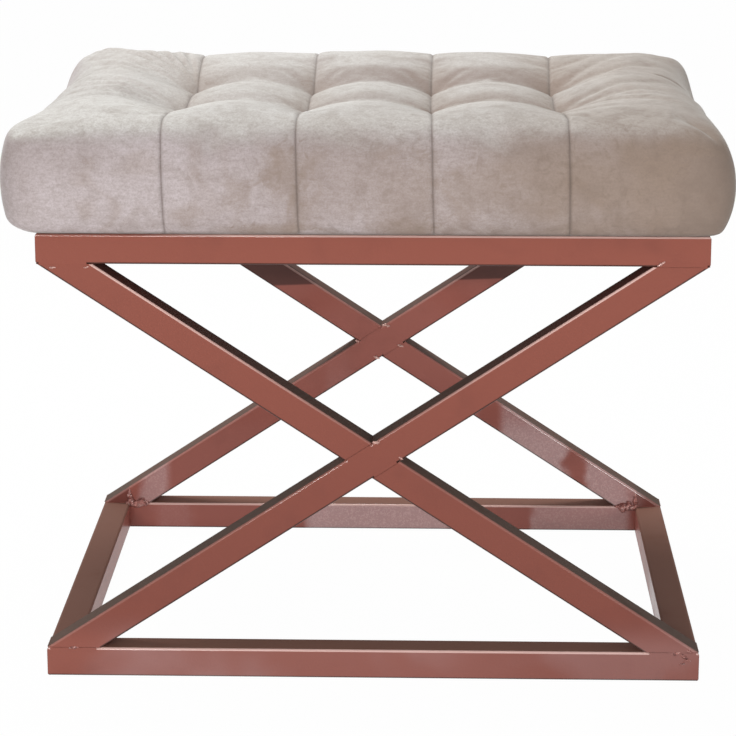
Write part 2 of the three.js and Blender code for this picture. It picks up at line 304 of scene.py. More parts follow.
class NodeBoard:
    """A node tree with short ways to place nodes and join them."""

    def __init__(self, tree: bpy.types.NodeTree) -> None:
        """Takes over an empty tree."""
        self.tree = tree

    def join(self, node: bpy.types.Node, inputs: dict) -> None:
        """Links sockets or sets values on a node.

        Args:
            node: The node.
            inputs: Values or output sockets for its inputs, by name or number.
        """
        for key, value in inputs.items():
            if isinstance(value, Socket):
                self.tree.links.new(value, node.inputs[key])
            else:
                node.inputs[key].default_value = value

    def add(self, kind: str, inputs: dict | None = None, **settings) -> bpy.types.Node:
        """Places a node.

        Args:
            kind: The node's type.
            inputs: Values or output sockets for its inputs, by name or number.
            **settings: Its settings by name.

        Returns:
            The node.
        """
        node = self.tree.nodes.new(kind)
        for key, value in settings.items():
            setattr(node, key, value)
        self.join(node, inputs or {})
        return node

    def maths(self, operation: str, first: Value, second: Value = 0.0) -> Socket:
        """Joins two values by arithmetic and gives the result's socket."""
        return self.add("ShaderNodeMath", {0: first, 1: second}, operation=operation).outputs[0]

    def times(self, *values: Value) -> Socket:
        """Multiplies values."""
        return reduce(partial(self.maths, "MULTIPLY"), values)

    def plus(self, *values: Value) -> Socket:
        """Adds values."""
        return reduce(partial(self.maths, "ADD"), values)

    def most(self, *values: Value) -> Socket:
        """Gives the largest of some values."""
        return reduce(partial(self.maths, "MAXIMUM"), values)

    def less(self, first: Value, second: Value) -> Socket:
        """Takes the second value from the first."""
        return self.maths("SUBTRACT", first, second)

    def blend(self, factor: Value, first: Tone, second: Tone) -> Socket:
        """Mixes two colours and gives the result's socket."""
        inputs = {0: factor, 6: opaque(first), 7: opaque(second)}
        return self.add("ShaderNodeMix", inputs, data_type="RGBA").outputs[2]

    def over(self, colour: Tone, *coats: tuple[Value, Tone]) -> Socket:
        """Lays tones over a colour in order, each through its own mask.

        Args:
            colour: The colour below.
            *coats: Pairs of a mask and a tone.

        Returns:
            The colour that comes out.
        """
        for mask, tone in coats:
            colour = self.blend(mask, colour, tone)
        return colour

    def noise(self, vector: Socket, scale: Value, detail: float = 2.0, roughness: float = 0.5,
              distortion: Value = 0.0) -> Socket:
        """Gives soft noise over a vector, from 0 to 1."""
        inputs = {"Vector": vector, "Scale": scale, "Detail": detail, "Roughness": roughness,
                  "Distortion": distortion}
        return self.add("ShaderNodeTexNoise", inputs).outputs["Fac"]

    def between(self, value: Value, low: Value, high: Value, to_low: float = 0.0,
                to_high: float = 1.0) -> Socket:
        """Maps a value smoothly from one range to another."""
        inputs = {"Value": value, "From Min": low, "From Max": high, "To Min": to_low, "To Max": to_high}
        return self.add("ShaderNodeMapRange", inputs, interpolation_type="SMOOTHSTEP").outputs[0]

    def objects(self) -> Socket:
        """Gives the piece's own Object coordinates."""
        return self.add("ShaderNodeTexCoord").outputs["Object"]

    def axes(self, vector: Socket) -> Sequence[Socket]:
        """Splits a vector into its X, Y and Z sockets."""
        return self.add("ShaderNodeSeparateXYZ", {0: vector}).outputs

    def facing(self) -> Sequence[Socket]:
        """Gives the X, Y and Z sockets of the surface's normal."""
        return self.axes(self.add("ShaderNodeNewGeometry").outputs["Normal"])

    def stretched(self, vector: Socket, scale: Place) -> Socket:
        """Scales a vector differently along X, Y and Z."""
        return self.add("ShaderNodeMapping", {"Vector": vector, "Scale": scale}).outputs[0]

    def mark(self, name: str) -> Socket:
        """Reads one of the mesh's own point attributes."""
        return self.add("ShaderNodeAttribute", attribute_name=name).outputs["Fac"]

    def wave(self, value: Socket, length: float) -> Socket:
        """Gives a sine wave of some length along a value."""
        return self.maths("SINE", self.times(value, 2 * math.pi / length))

    def bump(self, height: Socket, strength: Value, distance: float, under: Socket | None = None) -> Socket:
        """Turns a height into a normal.

        Args:
            height: The height.
            strength: How strongly it shows.
            distance: The height in metres that 1 stands for.
            under: Another normal to lay it over.

        Returns:
            The normal.
        """
        inputs = {"Height": height, "Strength": strength, "Distance": distance}
        if under is not None:
            inputs["Normal"] = under
        return self.add("ShaderNodeBump", inputs).outputs["Normal"]


def new_material(name: str) -> tuple[Material, NodeBoard, bpy.types.Node]:
    """Starts a material.

    Args:
        name: The material's name.

    Returns:
        The material, its node board and its Principled shader.
    """
    material = bpy.data.materials.new(name)
    material.use_nodes = True
    material.node_tree.nodes.clear()
    board = NodeBoard(material.node_tree)
    shader = board.add("ShaderNodeBsdfPrincipled")
    board.add("ShaderNodeOutputMaterial", {"Surface": shader.outputs["BSDF"]})
    return material, board, shader


def new_effect(name: str, inputs: dict[str, str], outputs: Sequence[str]) -> tuple:
    """Starts a shared effect as a node group.

    Args:
        name: The group's name.
        inputs: The socket type of each value that goes in, by name.
        outputs: Names of the values that come out.

    Returns:
        The tree, its board, its input node's sockets and its output node.
    """
    tree = bpy.data.node_groups.new(name, "ShaderNodeTree")
    for label, kind in inputs.items():
        tree.interface.new_socket(name=label, in_out="INPUT", socket_type=f"NodeSocket{kind}")
    for label in outputs:
        tree.interface.new_socket(name=label, in_out="OUTPUT", socket_type="NodeSocketFloat")
    board = NodeBoard(tree)
    return tree, board, board.add("NodeGroupInput").outputs, board.add("NodeGroupOutput")


class BarRun(Enum):
    """Which way a tube runs, as the turn of its top face from level."""

    LEVEL = ("level", 0.0)
    RISING = ("rising", -1.0)
    FALLING = ("falling", 1.0)

    @property
    def top(self) -> Place:
        """The outward normal of the tube's upper face."""
        turn = self.value[1] * SIZES.cross_angle
        return (math.sin(turn), 0.0, math.cos(turn))

    @property
    def end(self) -> Place:
        """The direction along the tube, for level ones the long way of the stool."""
        x, _, z = self.top
        return (z, 0.0, -x)


@dataclass(frozen=True)
class Patches:
    """Soft patches: how small they are, the noise where they begin and are full, and their twist."""

    scale: float
    low: float
    high: float
    distortion: float


class Effects:
    """The shared effects, each built once."""

    def __init__(self) -> None:
        """Builds every group."""
        self._patches = self._make_patches()
        self._corners = self._make_corners()
        self._peel = self._make_peel()

    @staticmethod
    def _make_patches() -> bpy.types.NodeTree:
        """Builds large soft clouds, as where a pile or a paint changes tone.

        Returns:
            The node group.
        """
        given_types = {"Vector": "Vector"} | dict.fromkeys(("Scale", "Low", "High", "Distortion"), "Float")
        tree, board, given, out = new_effect("soft_patches", given_types, ["Mask"])
        cloud = board.noise(given["Vector"], given["Scale"], 3.0, 0.5, given["Distortion"])
        board.join(out, {"Mask": board.between(cloud, given["Low"], given["High"])})
        return tree

    @staticmethod
    def _make_corners() -> bpy.types.NodeTree:
        """Builds the masks of a square tube's rounded corners and top, by the surface's true normal.

        Returns:
            The node group.
        """
        sides = ("Side", "Top", "End")
        tree, board, given, out = new_effect(
            "tube_corners", dict.fromkeys(sides, "Vector"), ["Upper", "Lower", "Rim", "Upward"])
        normal = board.add("ShaderNodeNewGeometry").outputs["True Normal"]
        dots = [board.add("ShaderNodeVectorMath", {0: normal, 1: given[side]}, operation="DOT_PRODUCT")
                for side in sides]
        faces = [dot.outputs["Value"] for dot in dots]
        flat = [board.maths("ABSOLUTE", value) for value in faces]
        turned = board.between(board.most(*flat), 0.995, 0.90)
        along = board.between(flat[2], 0.30, 0.10)
        board.join(out, {
            "Upper": board.times(turned, board.between(faces[1], 0.0, 0.35), along),
            "Lower": board.times(turned, board.between(faces[1], 0.0, -0.35), along),
            "Rim": board.times(board.between(faces[1], 0.0, 0.35), board.between(flat[2], 0.10, 0.30)),
            "Upward": board.between(faces[1], 0.80, 0.99)})
        return tree

    @staticmethod
    def _make_peel() -> bpy.types.NodeTree:
        """Builds the fine waves of sprayed paint, as a height.

        Returns:
            The node group.
        """
        given_types = {"Vector": "Vector", "Scale": "Float", "Lumps": "Float"}
        tree, board, given, out = new_effect("orange_peel", given_types, ["Height"])
        fine = board.noise(given["Vector"], given["Scale"])
        slow = board.noise(given["Vector"], 55.0, 1.0)
        board.join(out, {"Height": board.plus(fine, board.times(slow, given["Lumps"]))})
        return tree

    def patches(self, board: NodeBoard, vector: Socket, look: Patches) -> Socket:
        """Places soft patches and gives their mask."""
        inputs = {"Vector": vector, "Scale": look.scale, "Low": look.low, "High": look.high,
                  "Distortion": look.distortion}
        return board.add("ShaderNodeGroup", inputs, node_tree=self._patches).outputs["Mask"]

    def corners(self, board: NodeBoard, run: BarRun) -> Sequence[Socket]:
        """Places the masks of a tube's corners, for tubes that run one way."""
        inputs = {"Side": (0.0, 1.0, 0.0), "Top": run.top, "End": run.end}
        return board.add("ShaderNodeGroup", inputs, node_tree=self._corners).outputs

    def peel(self, board: NodeBoard, vector: Socket, scale: float, lumps: float) -> Socket:
        """Places the waves of sprayed paint and gives their height."""
        inputs = {"Vector": vector, "Scale": scale, "Lumps": lumps}
        return board.add("ShaderNodeGroup", inputs, node_tree=self._peel).outputs["Height"]


# Finishes


@dataclass(frozen=True)
class FramePaint:
    """Satin rose-copper paint, sprayed over the welded frame.

    The hazes are painted reflections, paler stretches of the back tubes, each given by its left end,
    its right end and its strength. Spans run from the place where a tone begins to the place where
    it is full. Painted highlights, painted sheen, painted shade and painted shadows lie over the paint too.
    """

    copper: Colour = (0.292, 0.084, 0.057)
    # Painted light: the back tubes are painted lighter, as if more light reached them.
    copper_back_lit: Colour = (0.350, 0.112, 0.086)
    # Painted sheen and painted reflection: the pale violet tone low on the front tubes and along the back
    # tubes.
    sheen_mauve: Colour = (0.400, 0.205, 0.195)
    shade: Colour = (0.135, 0.042, 0.035)
    # Painted highlight on the upper corners, and painted glints in the painted reflection.
    edge: Colour = (0.880, 0.600, 0.540)
    # Painted shade on the lower corners, the rails' far-left tops and the bars' upper ends, and the painted
    # shadow under the seat.
    dark: Colour = (0.050, 0.022, 0.018)
    # Painted shade on the upper faces of the rails and of the bars.
    rail_top_shade: Colour = (0.215, 0.112, 0.082)
    bar_top_shade: Colour = (0.080, 0.064, 0.050)
    metallic: float = 0.10
    roughness: float = 0.42
    lumps: float = 0.4
    peel_scale: float = 420.0
    cloud: Patches = Patches(7.0, 0.36, 0.62, 0.4)
    dull: Patches = Patches(23.0, 0.50, 0.80, 0.2)
    glints: Patches = Patches(560.0, 0.46, 0.64, 0.8)
    base_height: Span = (0.060, 0.022)
    back_height: Span = (0.20, 0.10)
    front_pair: Span = (0.05, -0.05)
    back_pair: Span = (0.08, 0.16)
    inner_side: Span = (0.186, 0.180)
    haze_rim: float = 0.006
    haze_waver: float = 0.014
    rail_hazes: tuple[Place, ...] = ((-0.225, -0.190, 0.20), (-0.078, 0.060, 1.00), (0.139, 0.232, 0.60))
    bar_hazes: tuple[Place, ...] = (
        (-0.240, -0.214, 0.65), (-0.060, -0.030, 0.30), (0.070, 0.088, 0.35), (0.108, 0.173, 1.00),
        (0.191, 0.246, 0.90))

    def make(self, effects: Effects, run: BarRun) -> Material:
        """Makes the paint for tubes that run one way.

        Args:
            effects: The shared node groups.
            run: Which way the tubes run.

        Returns:
            The material.
        """
        material, board, shader = new_material(f"frame_paint_{run.value[0]}")
        spot = board.objects()
        place = board.axes(spot)
        looks = (self.cloud, self.dull, self.glints)
        cloud, dull, glints = (effects.patches(board, spot, look) for look in looks)
        low = board.between(place["Z"], *self.base_height)
        front = board.between(place["Y"], *self.front_pair)
        behind = board.between(place["Y"], *self.back_pair)
        back = board.times(behind, board.between(place["Z"], *self.back_height),
                           board.between(place["Y"], *self.inner_side))
        # Painted reflection: paler bands along the back tubes.
        painted_reflection = self._haze(board, place["X"], dull, run)
        rear_reflection = board.times(back, painted_reflection)
        # Painted sheen low on the front tubes, joined with the painted reflection at the back.
        front_painted_sheen = board.times(
            low, front, board.between(cloud, 0.0, 1.0, 0.20, 0.60),
            board.between(place["X"], 0.04, 0.20, 1.0, 0.65),
            board.between(place["X"], -0.25, -0.18, 0.40, 1.0))
        painted_sheen = board.most(front_painted_sheen, rear_reflection)
        # Painted shade low on the front tubes, towards the right.
        front_right_shade = board.times(low, board.between(place["X"], 0.02, 0.20, 0.0, 0.24), front)
        # Painted shadow on the back tubes between the painted reflections.
        rear_shadow = board.times(back, board.less(1.0, painted_reflection), 0.22)
        # Painted light: the back tubes take the lighter copper.
        colour = board.over(
            self.copper, (behind, self.copper_back_lit), (painted_sheen, self.sheen_mauve), (front_right_shade, self.shade),
            # Painted glints in the painted reflection.
            (rear_shadow, self.shade), (board.times(rear_reflection, glints, 0.16), self.edge),
            (board.times(dull, 0.22), self.shade))
        corners = effects.corners(board, run)
        top = corners["Upward"]
        if run is BarRun.LEVEL:
            top = board.most(top, corners["Rim"])
            colour = self._rail_tones(board, place, colour, top)
            # Strength of the painted highlight on the rails' upper corners.
            highlight = board.most(board.between(place["Z"], 0.10, 0.02, 0.0, 0.75),
                               board.between(place["X"], -0.20, -0.10, 0.10, 0.80))
        else:
            colour = self._bar_tones(board, place, colour, top)
            # Strength of the painted highlight on the bars' upper corners, more towards the top.
            highlight = board.between(place["Z"], 0.19, 0.34, 0.10, 0.90)
        # Painted highlight on the upper corners and painted shade on the lower corners.
        colour = board.over(colour, (board.times(corners["Upper"], highlight), self.edge),
                            (board.times(corners["Lower"], 0.85), self.dark))
        rough = board.between(dull, 0.0, 1.0, self.roughness, self.roughness + 0.12)
        peel = effects.peel(board, spot, self.peel_scale, self.lumps)
        board.join(shader, {
            "Base Color": colour, "Metallic": self.metallic,
            "Roughness": board.plus(rough, board.times(top, 0.30)),
            "Coat Weight": board.times(board.less(1.0, top), board.between(painted_sheen, 0.0, 1.0, 0.15, 1.0)),
            "Normal": board.bump(peel, board.between(rear_reflection, 0.0, 1.0, 0.14, 0.36), 0.0008),
            "Specular IOR Level": 0.10, "Coat Roughness": 0.12, "Coat IOR": 1.8})
        return material

    def _haze(self, board: NodeBoard, along: Socket, dull: Socket, run: BarRun) -> Socket:
        """Marks the painted reflections, the paler stretches of the back tubes, for tubes that run one way.

        Args:
            board: The material's node board.
            along: The place along the stool.
            dull: A mask that makes the stretches' ends waver.
            run: Which way the tubes run.

        Returns:
            The mask.
        """
        wavy = board.plus(along, board.times(board.less(dull, 0.5), self.haze_waver))
        rim = self.haze_rim
        bands = [board.times(board.between(wavy, left - rim, left + rim, 0.0, level),
                             board.between(wavy, right + rim, right - rim))
                 for left, right, level in (self.rail_hazes if run is BarRun.LEVEL else self.bar_hazes)]
        return board.most(*bands)

    def _rail_tones(self, board: NodeBoard, place: Sequence[Socket], colour: Socket, top: Socket) -> Socket:
        """Paints shade on the rails' upper faces, darker still at the far left."""
        far_left_shade = board.times(top, board.between(place["X"], -0.20, -0.25, 0.0, 0.24))
        return board.over(colour, (board.times(top, 0.92), self.rail_top_shade), (far_left_shade, self.dark))

    def _bar_tones(self, board: NodeBoard, place: Sequence[Socket], colour: Socket, top: Socket) -> Socket:
        """Paints shade and a shadow on the crossing bars.

        Args:
            board: The material's node board.
            place: The X, Y and Z sockets of the Object coordinates.
            colour: The paint's colour so far.
            top: The mask of the bars' upper faces.

        Returns:
            The colour, with painted shade low on the front bars, at the back bars' feet and on the upper
            faces, and a painted shadow under the seat.
        """
        behind = board.between(place["Y"], *self.back_pair)
        # Painted shade low on the front bars.
        low_shade = board.times(board.between(place["Y"], 0.0, -0.15), board.between(place["Z"], 0.026, 0.048),
                           board.between(place["Z"], 0.34, 0.06, 0.06, 0.30))
        # Painted shade at the back bars' feet, past the rails' corners.
        past = board.times(board.between(board.maths("ABSOLUTE", place["X"]), 0.2445, 0.2470),
                           board.between(place["Y"], 0.10, 0.16), board.between(place["Z"], 0.08, 0.06), 0.65)
        # Painted shade on the bars' upper faces, darker towards the top.
        upper_face_shade = board.blend(board.between(place["Z"], 0.20, 0.34), self.bar_top_shade, self.dark)
        # Painted shadow on the back bars' inner faces under the seat.
        seat_shadow = board.less(place["Z"], board.times(place["X"], 0.037))
        seat_shadow = board.times(board.between(seat_shadow, 0.2460, 0.2480), behind,
                            board.between(place["Y"], *self.inner_side, 0.0, 0.80))
        return board.over(colour, (low_shade, self.shade), (past, self.shade),
                          (board.times(top, 0.85), upper_face_shade), (seat_shadow, self.dark))


@dataclass(frozen=True)
class WeldPaint:
    """The same paint over lumpy weld metal, glossier on the beads."""

    name: str = "frame_paint_weld"
    copper: Colour = (0.330, 0.125, 0.105)
    # Painted glints: the pale tone laid on in specks.
    bright: Colour = (0.780, 0.520, 0.480)
    # Painted shade in the weld's crevices.
    crevice_shade: Colour = (0.090, 0.030, 0.026)
    glints: Patches = Patches(260.0, 0.50, 0.72, 0.6)
    dents: Patches = Patches(420.0, 0.50, 0.62, 0.8)
    lumps: float = 0.5
    peel_scale: float = 520.0

    def make(self, effects: Effects) -> Material:
        """Makes the paint as it lies over the welds.

        Args:
            effects: The shared node groups.

        Returns:
            The material.
        """
        material, board, shader = new_material(self.name)
        spot = board.objects()
        glints, dents = (effects.patches(board, spot, look) for look in (self.glints, self.dents))
        peel = effects.peel(board, spot, self.peel_scale, self.lumps)
        # Painted glints in the specks and painted shade in the dents, over the paint.
        board.join(shader, {
            "Base Color": board.over(self.copper, (board.times(glints, 0.7), self.bright),
                                     (board.times(dents, 0.75), self.crevice_shade)),
            "Metallic": 0.3, "Roughness": board.between(glints, 0.0, 1.0, 0.36, 0.22),
            "Normal": board.bump(peel, 0.35, 0.0006)})
        return material


@dataclass(frozen=True)
class Handled:
    """A soft patch on the front where the pile is rubbed the other way."""

    x: float
    z: float
    reach_x: float
    reach_z: float
    level: float


@dataclass(frozen=True)
class Velvet:
    """Mink velvet with a soft pile that lies lighter and darker in patches.

    Spans run from the place where a tone begins to the place where it is full. Along the nap and
    shade run the seat turns browner towards the right: partly the pile lying over more and more,
    partly painted shade where less light falls.
    """

    light: Colour = (0.625, 0.555, 0.565)
    middle: Colour = (0.525, 0.455, 0.458)
    # Painted light: the upward faces are paler, as under light from above.
    grey: Colour = (0.655, 0.650, 0.615)
    # Painted shade on the top's slopes that face the front.
    slope: Colour = (0.330, 0.270, 0.250)
    # Painted shade at the right end; also the tone of the pile's dark patches.
    deep: Colour = (0.250, 0.190, 0.155)
    # The pile's stains and rubbed patches, and painted shade in the valleys and towards the right.
    brown: Colour = (0.330, 0.245, 0.190)
    seam: Colour = (0.150, 0.120, 0.100)
    crown_highlight: Colour = (0.760, 0.750, 0.715)
    pale: Patches = Patches(6.5, 0.34, 0.66, 0.8)
    brushed: Patches = Patches(32.0, 0.44, 0.74, 1.2)
    smudge: Patches = Patches(85.0, 0.50, 0.76, 1.6)
    stain: Patches = Patches(17.0, 0.50, 0.70, 1.5)
    thread_scale: Place = (150.0, 150.0, 420.0)
    pile_scale: float = 620.0
    low_front: Span = (0.402, 0.380)
    hem_shadow: Span = (0.3825, 0.3785)
    right_end_shade: Span = (0.210, 0.300)
    front_face: Span = (-0.165, -0.185)
    nap_and_shade_run: Span = (-0.09, 0.26)
    nap_and_shade_waver: float = -0.14
    handled: tuple[Handled, ...] = (
        Handled(-0.068, 0.432, 0.022, 0.026, 0.50), Handled(0.043, 0.425, 0.014, 0.030, 0.35),
        Handled(0.080, 0.420, 0.034, 0.022, 0.38), Handled(0.203, 0.428, 0.050, 0.024, 0.55),
        Handled(0.262, 0.455, 0.040, 0.012, 0.60), Handled(-0.090, 0.384, 0.040, 0.007, 0.55),
        Handled(0.026, 0.386, 0.030, 0.010, 0.45))

    def make(self, effects: Effects) -> Material:
        """Makes the velvet of the seat.

        Args:
            effects: The shared node groups.

        Returns:
            The material.
        """
        material, board, shader = new_material("mink_velvet")
        spot = board.objects()
        place = board.axes(spot)
        normal = board.facing()
        looks = (self.pale, self.brushed, self.smudge, self.stain)
        pale, brushed, smudge, stain = (effects.patches(board, spot, look) for look in looks)
        thread = board.noise(board.stretched(spot, self.thread_scale), 1.0, 3.0, 0.7)
        pile = board.noise(spot, self.pile_scale, 4.0, 0.75)
        # Browner towards the right: partly the pile's lie, partly painted shade.
        nap_and_shade = board.plus(place["X"], board.times(board.less(pale, 0.5), self.nap_and_shade_waver))
        nap_and_shade = board.between(nap_and_shade, *self.nap_and_shade_run, 0.02, 0.88)
        low = board.between(place["Z"], *self.low_front)
        upright = board.between(normal["Z"], 0.90, 0.30)
        lit = board.times(board.between(place["X"], -0.08, -0.22), board.between(place["Y"], -0.08, -0.15),
                          board.between(normal["Z"], 0.55, 0.90, 0.0, 0.60))
        # How strongly the pile's dark patches show: more towards the right and low on the front.
        patch_depth = board.plus(board.between(nap_and_shade, 0.0, 1.0, 0.20, 0.42), board.times(low, 0.18))
        colour = board.over(
            self.middle,
            (pale, self.light),
            # Painted light on the upward faces.
            (board.between(normal["Z"], 0.35, 0.95, 0.0, 0.80), self.grey),
            # Painted highlight on the upper left of the top.
            (lit, self.crown_highlight),
            # Painted shade on the slopes that face the front.
            (self._tilted(board, place, normal, upright), self.slope),
            # Browner towards the right, partly painted shade.
            (board.times(nap_and_shade, board.between(upright, 0.0, 1.0, 0.55, 1.0)), self.brown),
            (board.times(stain, upright, 0.38), self.brown),
            # Painted shade at the right end.
            (board.between(place["X"], *self.right_end_shade, 0.0, 0.75), self.deep),
            (self._rubbed(board, place, board.plus(stain, smudge)), self.brown),
            # Painted shade in the top's valleys.
            (board.times(board.mark("valley_shade"), board.between(smudge, 0.0, 1.0, 0.55, 0.85)), self.brown),
            (board.times(brushed, patch_depth), self.deep),
            (board.times(smudge, patch_depth), self.deep),
            (board.between(thread, 0.36, 0.68, 0.0, 0.22), self.deep),
            (board.between(pile, 0.35, 0.70, 0.0, 0.34), self.deep),
            (board.times(board.mark("seam"), 0.55), self.seam),
            (board.between(place["Z"], *self.hem_shadow, 0.0, 0.7), self.seam))
        board.join(shader, {
            "Base Color": colour, "Roughness": board.between(brushed, 0.0, 1.0, 0.82, 0.95),
            "Normal": board.bump(thread, 0.10, 0.0008, board.bump(pile, 0.30, 0.0008)),
            "Sheen Weight": 0.38, "Sheen Roughness": 0.32, "Sheen Tint": (0.93, 0.95, 0.92, 1.0),
            "Specular IOR Level": 0.15})
        return material

    @staticmethod
    def _tilted(board: NodeBoard, place: Sequence[Socket], normal: Sequence[Socket],
                upright: Socket) -> Socket:
        """Marks the slopes of the top that face the front, which get painted shade.

        Args:
            board: The material's node board.
            place: The X, Y and Z sockets of the Object coordinates.
            normal: The X, Y and Z sockets of the surface's normal.
            upright: The mask of the seat's sides.

        Returns:
            The mask.
        """
        return board.times(
            board.between(normal["Y"], -0.03, -0.33), board.between(place["Y"], -0.165, -0.120),
            board.less(1.0, upright),
            board.between(board.maths("ABSOLUTE", place["X"]), 0.150, 0.215, 1.0, 0.3),
            board.between(place["X"], -0.14, 0.02, 0.45, 0.90))

    def _rubbed(self, board: NodeBoard, place: Sequence[Socket], ragged: Socket) -> Socket:
        """Marks the handled patches on the front.

        Args:
            board: The material's node board.
            place: The X, Y and Z sockets of the Object coordinates.
            ragged: A mask that breaks up the patches' rims.

        Returns:
            The mask.
        """
        marks = []
        for patch in self.handled:
            across = board.times(board.less(place["X"], patch.x), 1 / patch.reach_x)
            up = board.times(board.less(place["Z"], patch.z), 1 / patch.reach_z)
            apart = board.plus(board.times(across, across), board.times(up, up))
            apart = board.less(apart, board.times(ragged, 0.6))
            marks.append(board.between(apart, 1.3, -0.3, 0.0, patch.level))
        return board.times(board.most(*marks), board.between(place["Y"], *self.front_face))


@dataclass(frozen=True)
class Plywood:
    """Poplar plywood, with long grain on its faces and plies on its edge."""

    pale: Colour = (0.60, 0.43, 0.25)
    dark: Colour = (0.36, 0.22, 0.11)
    ply: float = 0.003
    grain_scale: Place = (4.0, 60.0, 60.0)
    knots: Patches = Patches(0.8, 0.5, 0.75, 0.5)

    def make(self, effects: Effects) -> Material:
        """Makes the board's wood.

        Args:
            effects: The shared node groups.

        Returns:
            The material.
        """
        material, board, shader = new_material("plywood")
        spot = board.objects()
        drawn = board.stretched(spot, self.grain_scale)
        grain = board.noise(drawn, 3.0, 5.0, 0.6, 0.6)
        plies = board.between(board.wave(board.axes(spot)["Z"], self.ply), -0.6, 0.6)
        is_face = board.maths("ABSOLUTE", board.facing()["Z"])
        mask = board.plus(board.times(grain, is_face), board.times(plies, board.less(1.0, is_face)))
        knots = effects.patches(board, drawn, self.knots)
        board.join(shader, {
            "Base Color": board.over(self.pale, (board.between(mask, 0.25, 0.8), self.dark),
                                     (board.times(knots, 0.3), self.dark)),
            "Roughness": board.between(grain, 0.2, 0.8, 0.62, 0.82),
            "Normal": board.bump(grain, 0.3, 0.0006)})
        return material


@dataclass(frozen=True)
class LiningCloth:
    """Black spun non-woven cloth with its small pressed diamonds."""

    black: Colour = (0.022, 0.022, 0.024)
    grey: Colour = (0.070, 0.070, 0.075)
    diamond: float = 0.0022
    fibre_scale: float = 700.0
    wear: Patches = Patches(12.0, 0.45, 0.75, 0.3)

    def make(self, effects: Effects) -> Material:
        """Makes the cloth under the seat.

        Args:
            effects: The shared node groups.

        Returns:
            The material.
        """
        material, board, shader = new_material("black_lining")
        spot = board.objects()
        place = board.axes(spot)
        slants = [board.plus(place["X"], board.times(place["Y"], sign)) for sign in (1.0, -1.0)]
        ways = [board.wave(slant, self.diamond) for slant in slants]
        pressed = board.between(board.times(*ways), 0.35, 0.8)
        fibre = board.noise(spot, self.fibre_scale, 4.0, 0.7, 1.5)
        wear = effects.patches(board, spot, self.wear)
        height = board.less(fibre, board.times(pressed, 0.8))
        board.join(shader, {
            "Base Color": board.over(self.black, (board.between(fibre, 0.35, 0.7), self.grey),
                                     (board.times(pressed, 0.6), self.black),
                                     (board.times(wear, 0.25), self.grey)),
            "Roughness": board.between(pressed, 0.0, 1.0, 0.95, 0.6),
            "Normal": board.bump(height, 0.5, 0.0004)})
        return material


@dataclass(frozen=True)
class Zinc:
    """Bright zinc plate with faint cloudiness."""

    plate: Colour = (0.62, 0.63, 0.64)
    cloud: Colour = (0.40, 0.41, 0.42)
    clouding: Patches = Patches(160.0, 0.4, 0.7, 0.5)
    grit_scale: float = 1200.0

    def make(self, effects: Effects) -> Material:
        """Makes the screws' plating.

        Args:
            effects: The shared node groups.

        Returns:
            The material.
        """
        material, board, shader = new_material("zinc_plate")
        spot = board.objects()
        cloudy = effects.patches(board, spot, self.clouding)
        board.join(shader, {
            "Base Color": board.blend(cloudy, self.plate, self.cloud), "Metallic": 1.0,
            "Roughness": board.between(cloudy, 0.0, 1.0, 0.28, 0.46),
            "Normal": board.bump(board.noise(spot, self.grit_scale), 0.08, 0.0002)})
        return material


@dataclass(frozen=True)
class Twine:
    """Natural waxed twine with its twist."""

    pale: Colour = (0.66, 0.60, 0.48)
    dark: Colour = (0.38, 0.32, 0.22)
    twist: float = 0.0016
    soil: Patches = Patches(90.0, 0.45, 0.75, 0.4)

    def make(self, effects: Effects) -> Material:
        """Makes the tuft ties' twine.

        Args:
            effects: The shared node groups.

        Returns:
            The material.
        """
        material, board, shader = new_material("tuft_twine")
        spot = board.objects()
        place = board.axes(spot)
        strands = board.wave(board.plus(place["Z"], board.times(place["X"], 0.8)), self.twist)
        soil = effects.patches(board, spot, self.soil)
        board.join(shader, {
            "Base Color": board.over(self.dark, (board.between(strands, -0.4, 0.9), self.pale),
                                     (board.times(soil, 0.3), self.dark)),
            "Roughness": board.between(strands, -1.0, 1.0, 0.9, 0.7),
            "Normal": board.bump(strands, 0.6, 0.0004)})
        return material


# The welded frame


@dataclass(frozen=True)
class Dab:
    """A small dab of weld metal, with its ends in the XZ plane and how far back it sits."""

    name: str
    start: tuple[float, float]
    end: tuple[float, float]
    fullness: float
    back: float = 0.0


FRONT_DABS: tuple[Dab, ...] = (
    Dab("top_right_dab", (0.2285, 0.3532), (0.2330, 0.3562), 0.55),
    Dab("top_left_dab", (-0.2585, 0.3490), (-0.2545, 0.3492), 0.40),
    Dab("top_left_small_dab", (-0.2310, 0.3492), (-0.2275, 0.3500), 0.35),
    Dab("front_crossing_top_dab", (0.0010, 0.2046), (0.0052, 0.2046), 0.60),
    Dab("front_crossing_right_dab", (0.0225, 0.1918), (0.0245, 0.1908), 0.50),
    Dab("base_right_dab", (0.2605, 0.0270), (0.2635, 0.0262), 0.40),
    Dab("base_right_low_dab", (0.2590, 0.0190), (0.2625, 0.0182), 0.55, 0.0003),
    Dab("base_right_left_dab", (0.2480, 0.0235), (0.2545, 0.0250), 0.70, 0.0006),
    Dab("base_right_middle_dab", (0.2560, 0.0225), (0.2600, 0.0205), 0.70, 0.0006),
    Dab("base_right_foot_dab", (0.2540, 0.0150), (0.2590, 0.0160), 0.55, 0.0006),
    Dab("base_left_dab", (-0.2520, 0.0245), (-0.2440, 0.0252), 0.60, 0.0006))

INNER_DABS: tuple[Dab, ...] = (
    Dab("back_crossing_top_dab", (0.0010, 0.2050), (0.0070, 0.2042), 0.60),
    Dab("back_crossing_low_dab", (-0.0070, 0.1735), (-0.0030, 0.1722), 0.60),
    Dab("back_crossing_right_dab", (0.0160, 0.1850), (0.0200, 0.1838), 0.60),
    Dab("back_crossing_left_dab", (-0.0245, 0.1895), (-0.0225, 0.1885), 0.50))


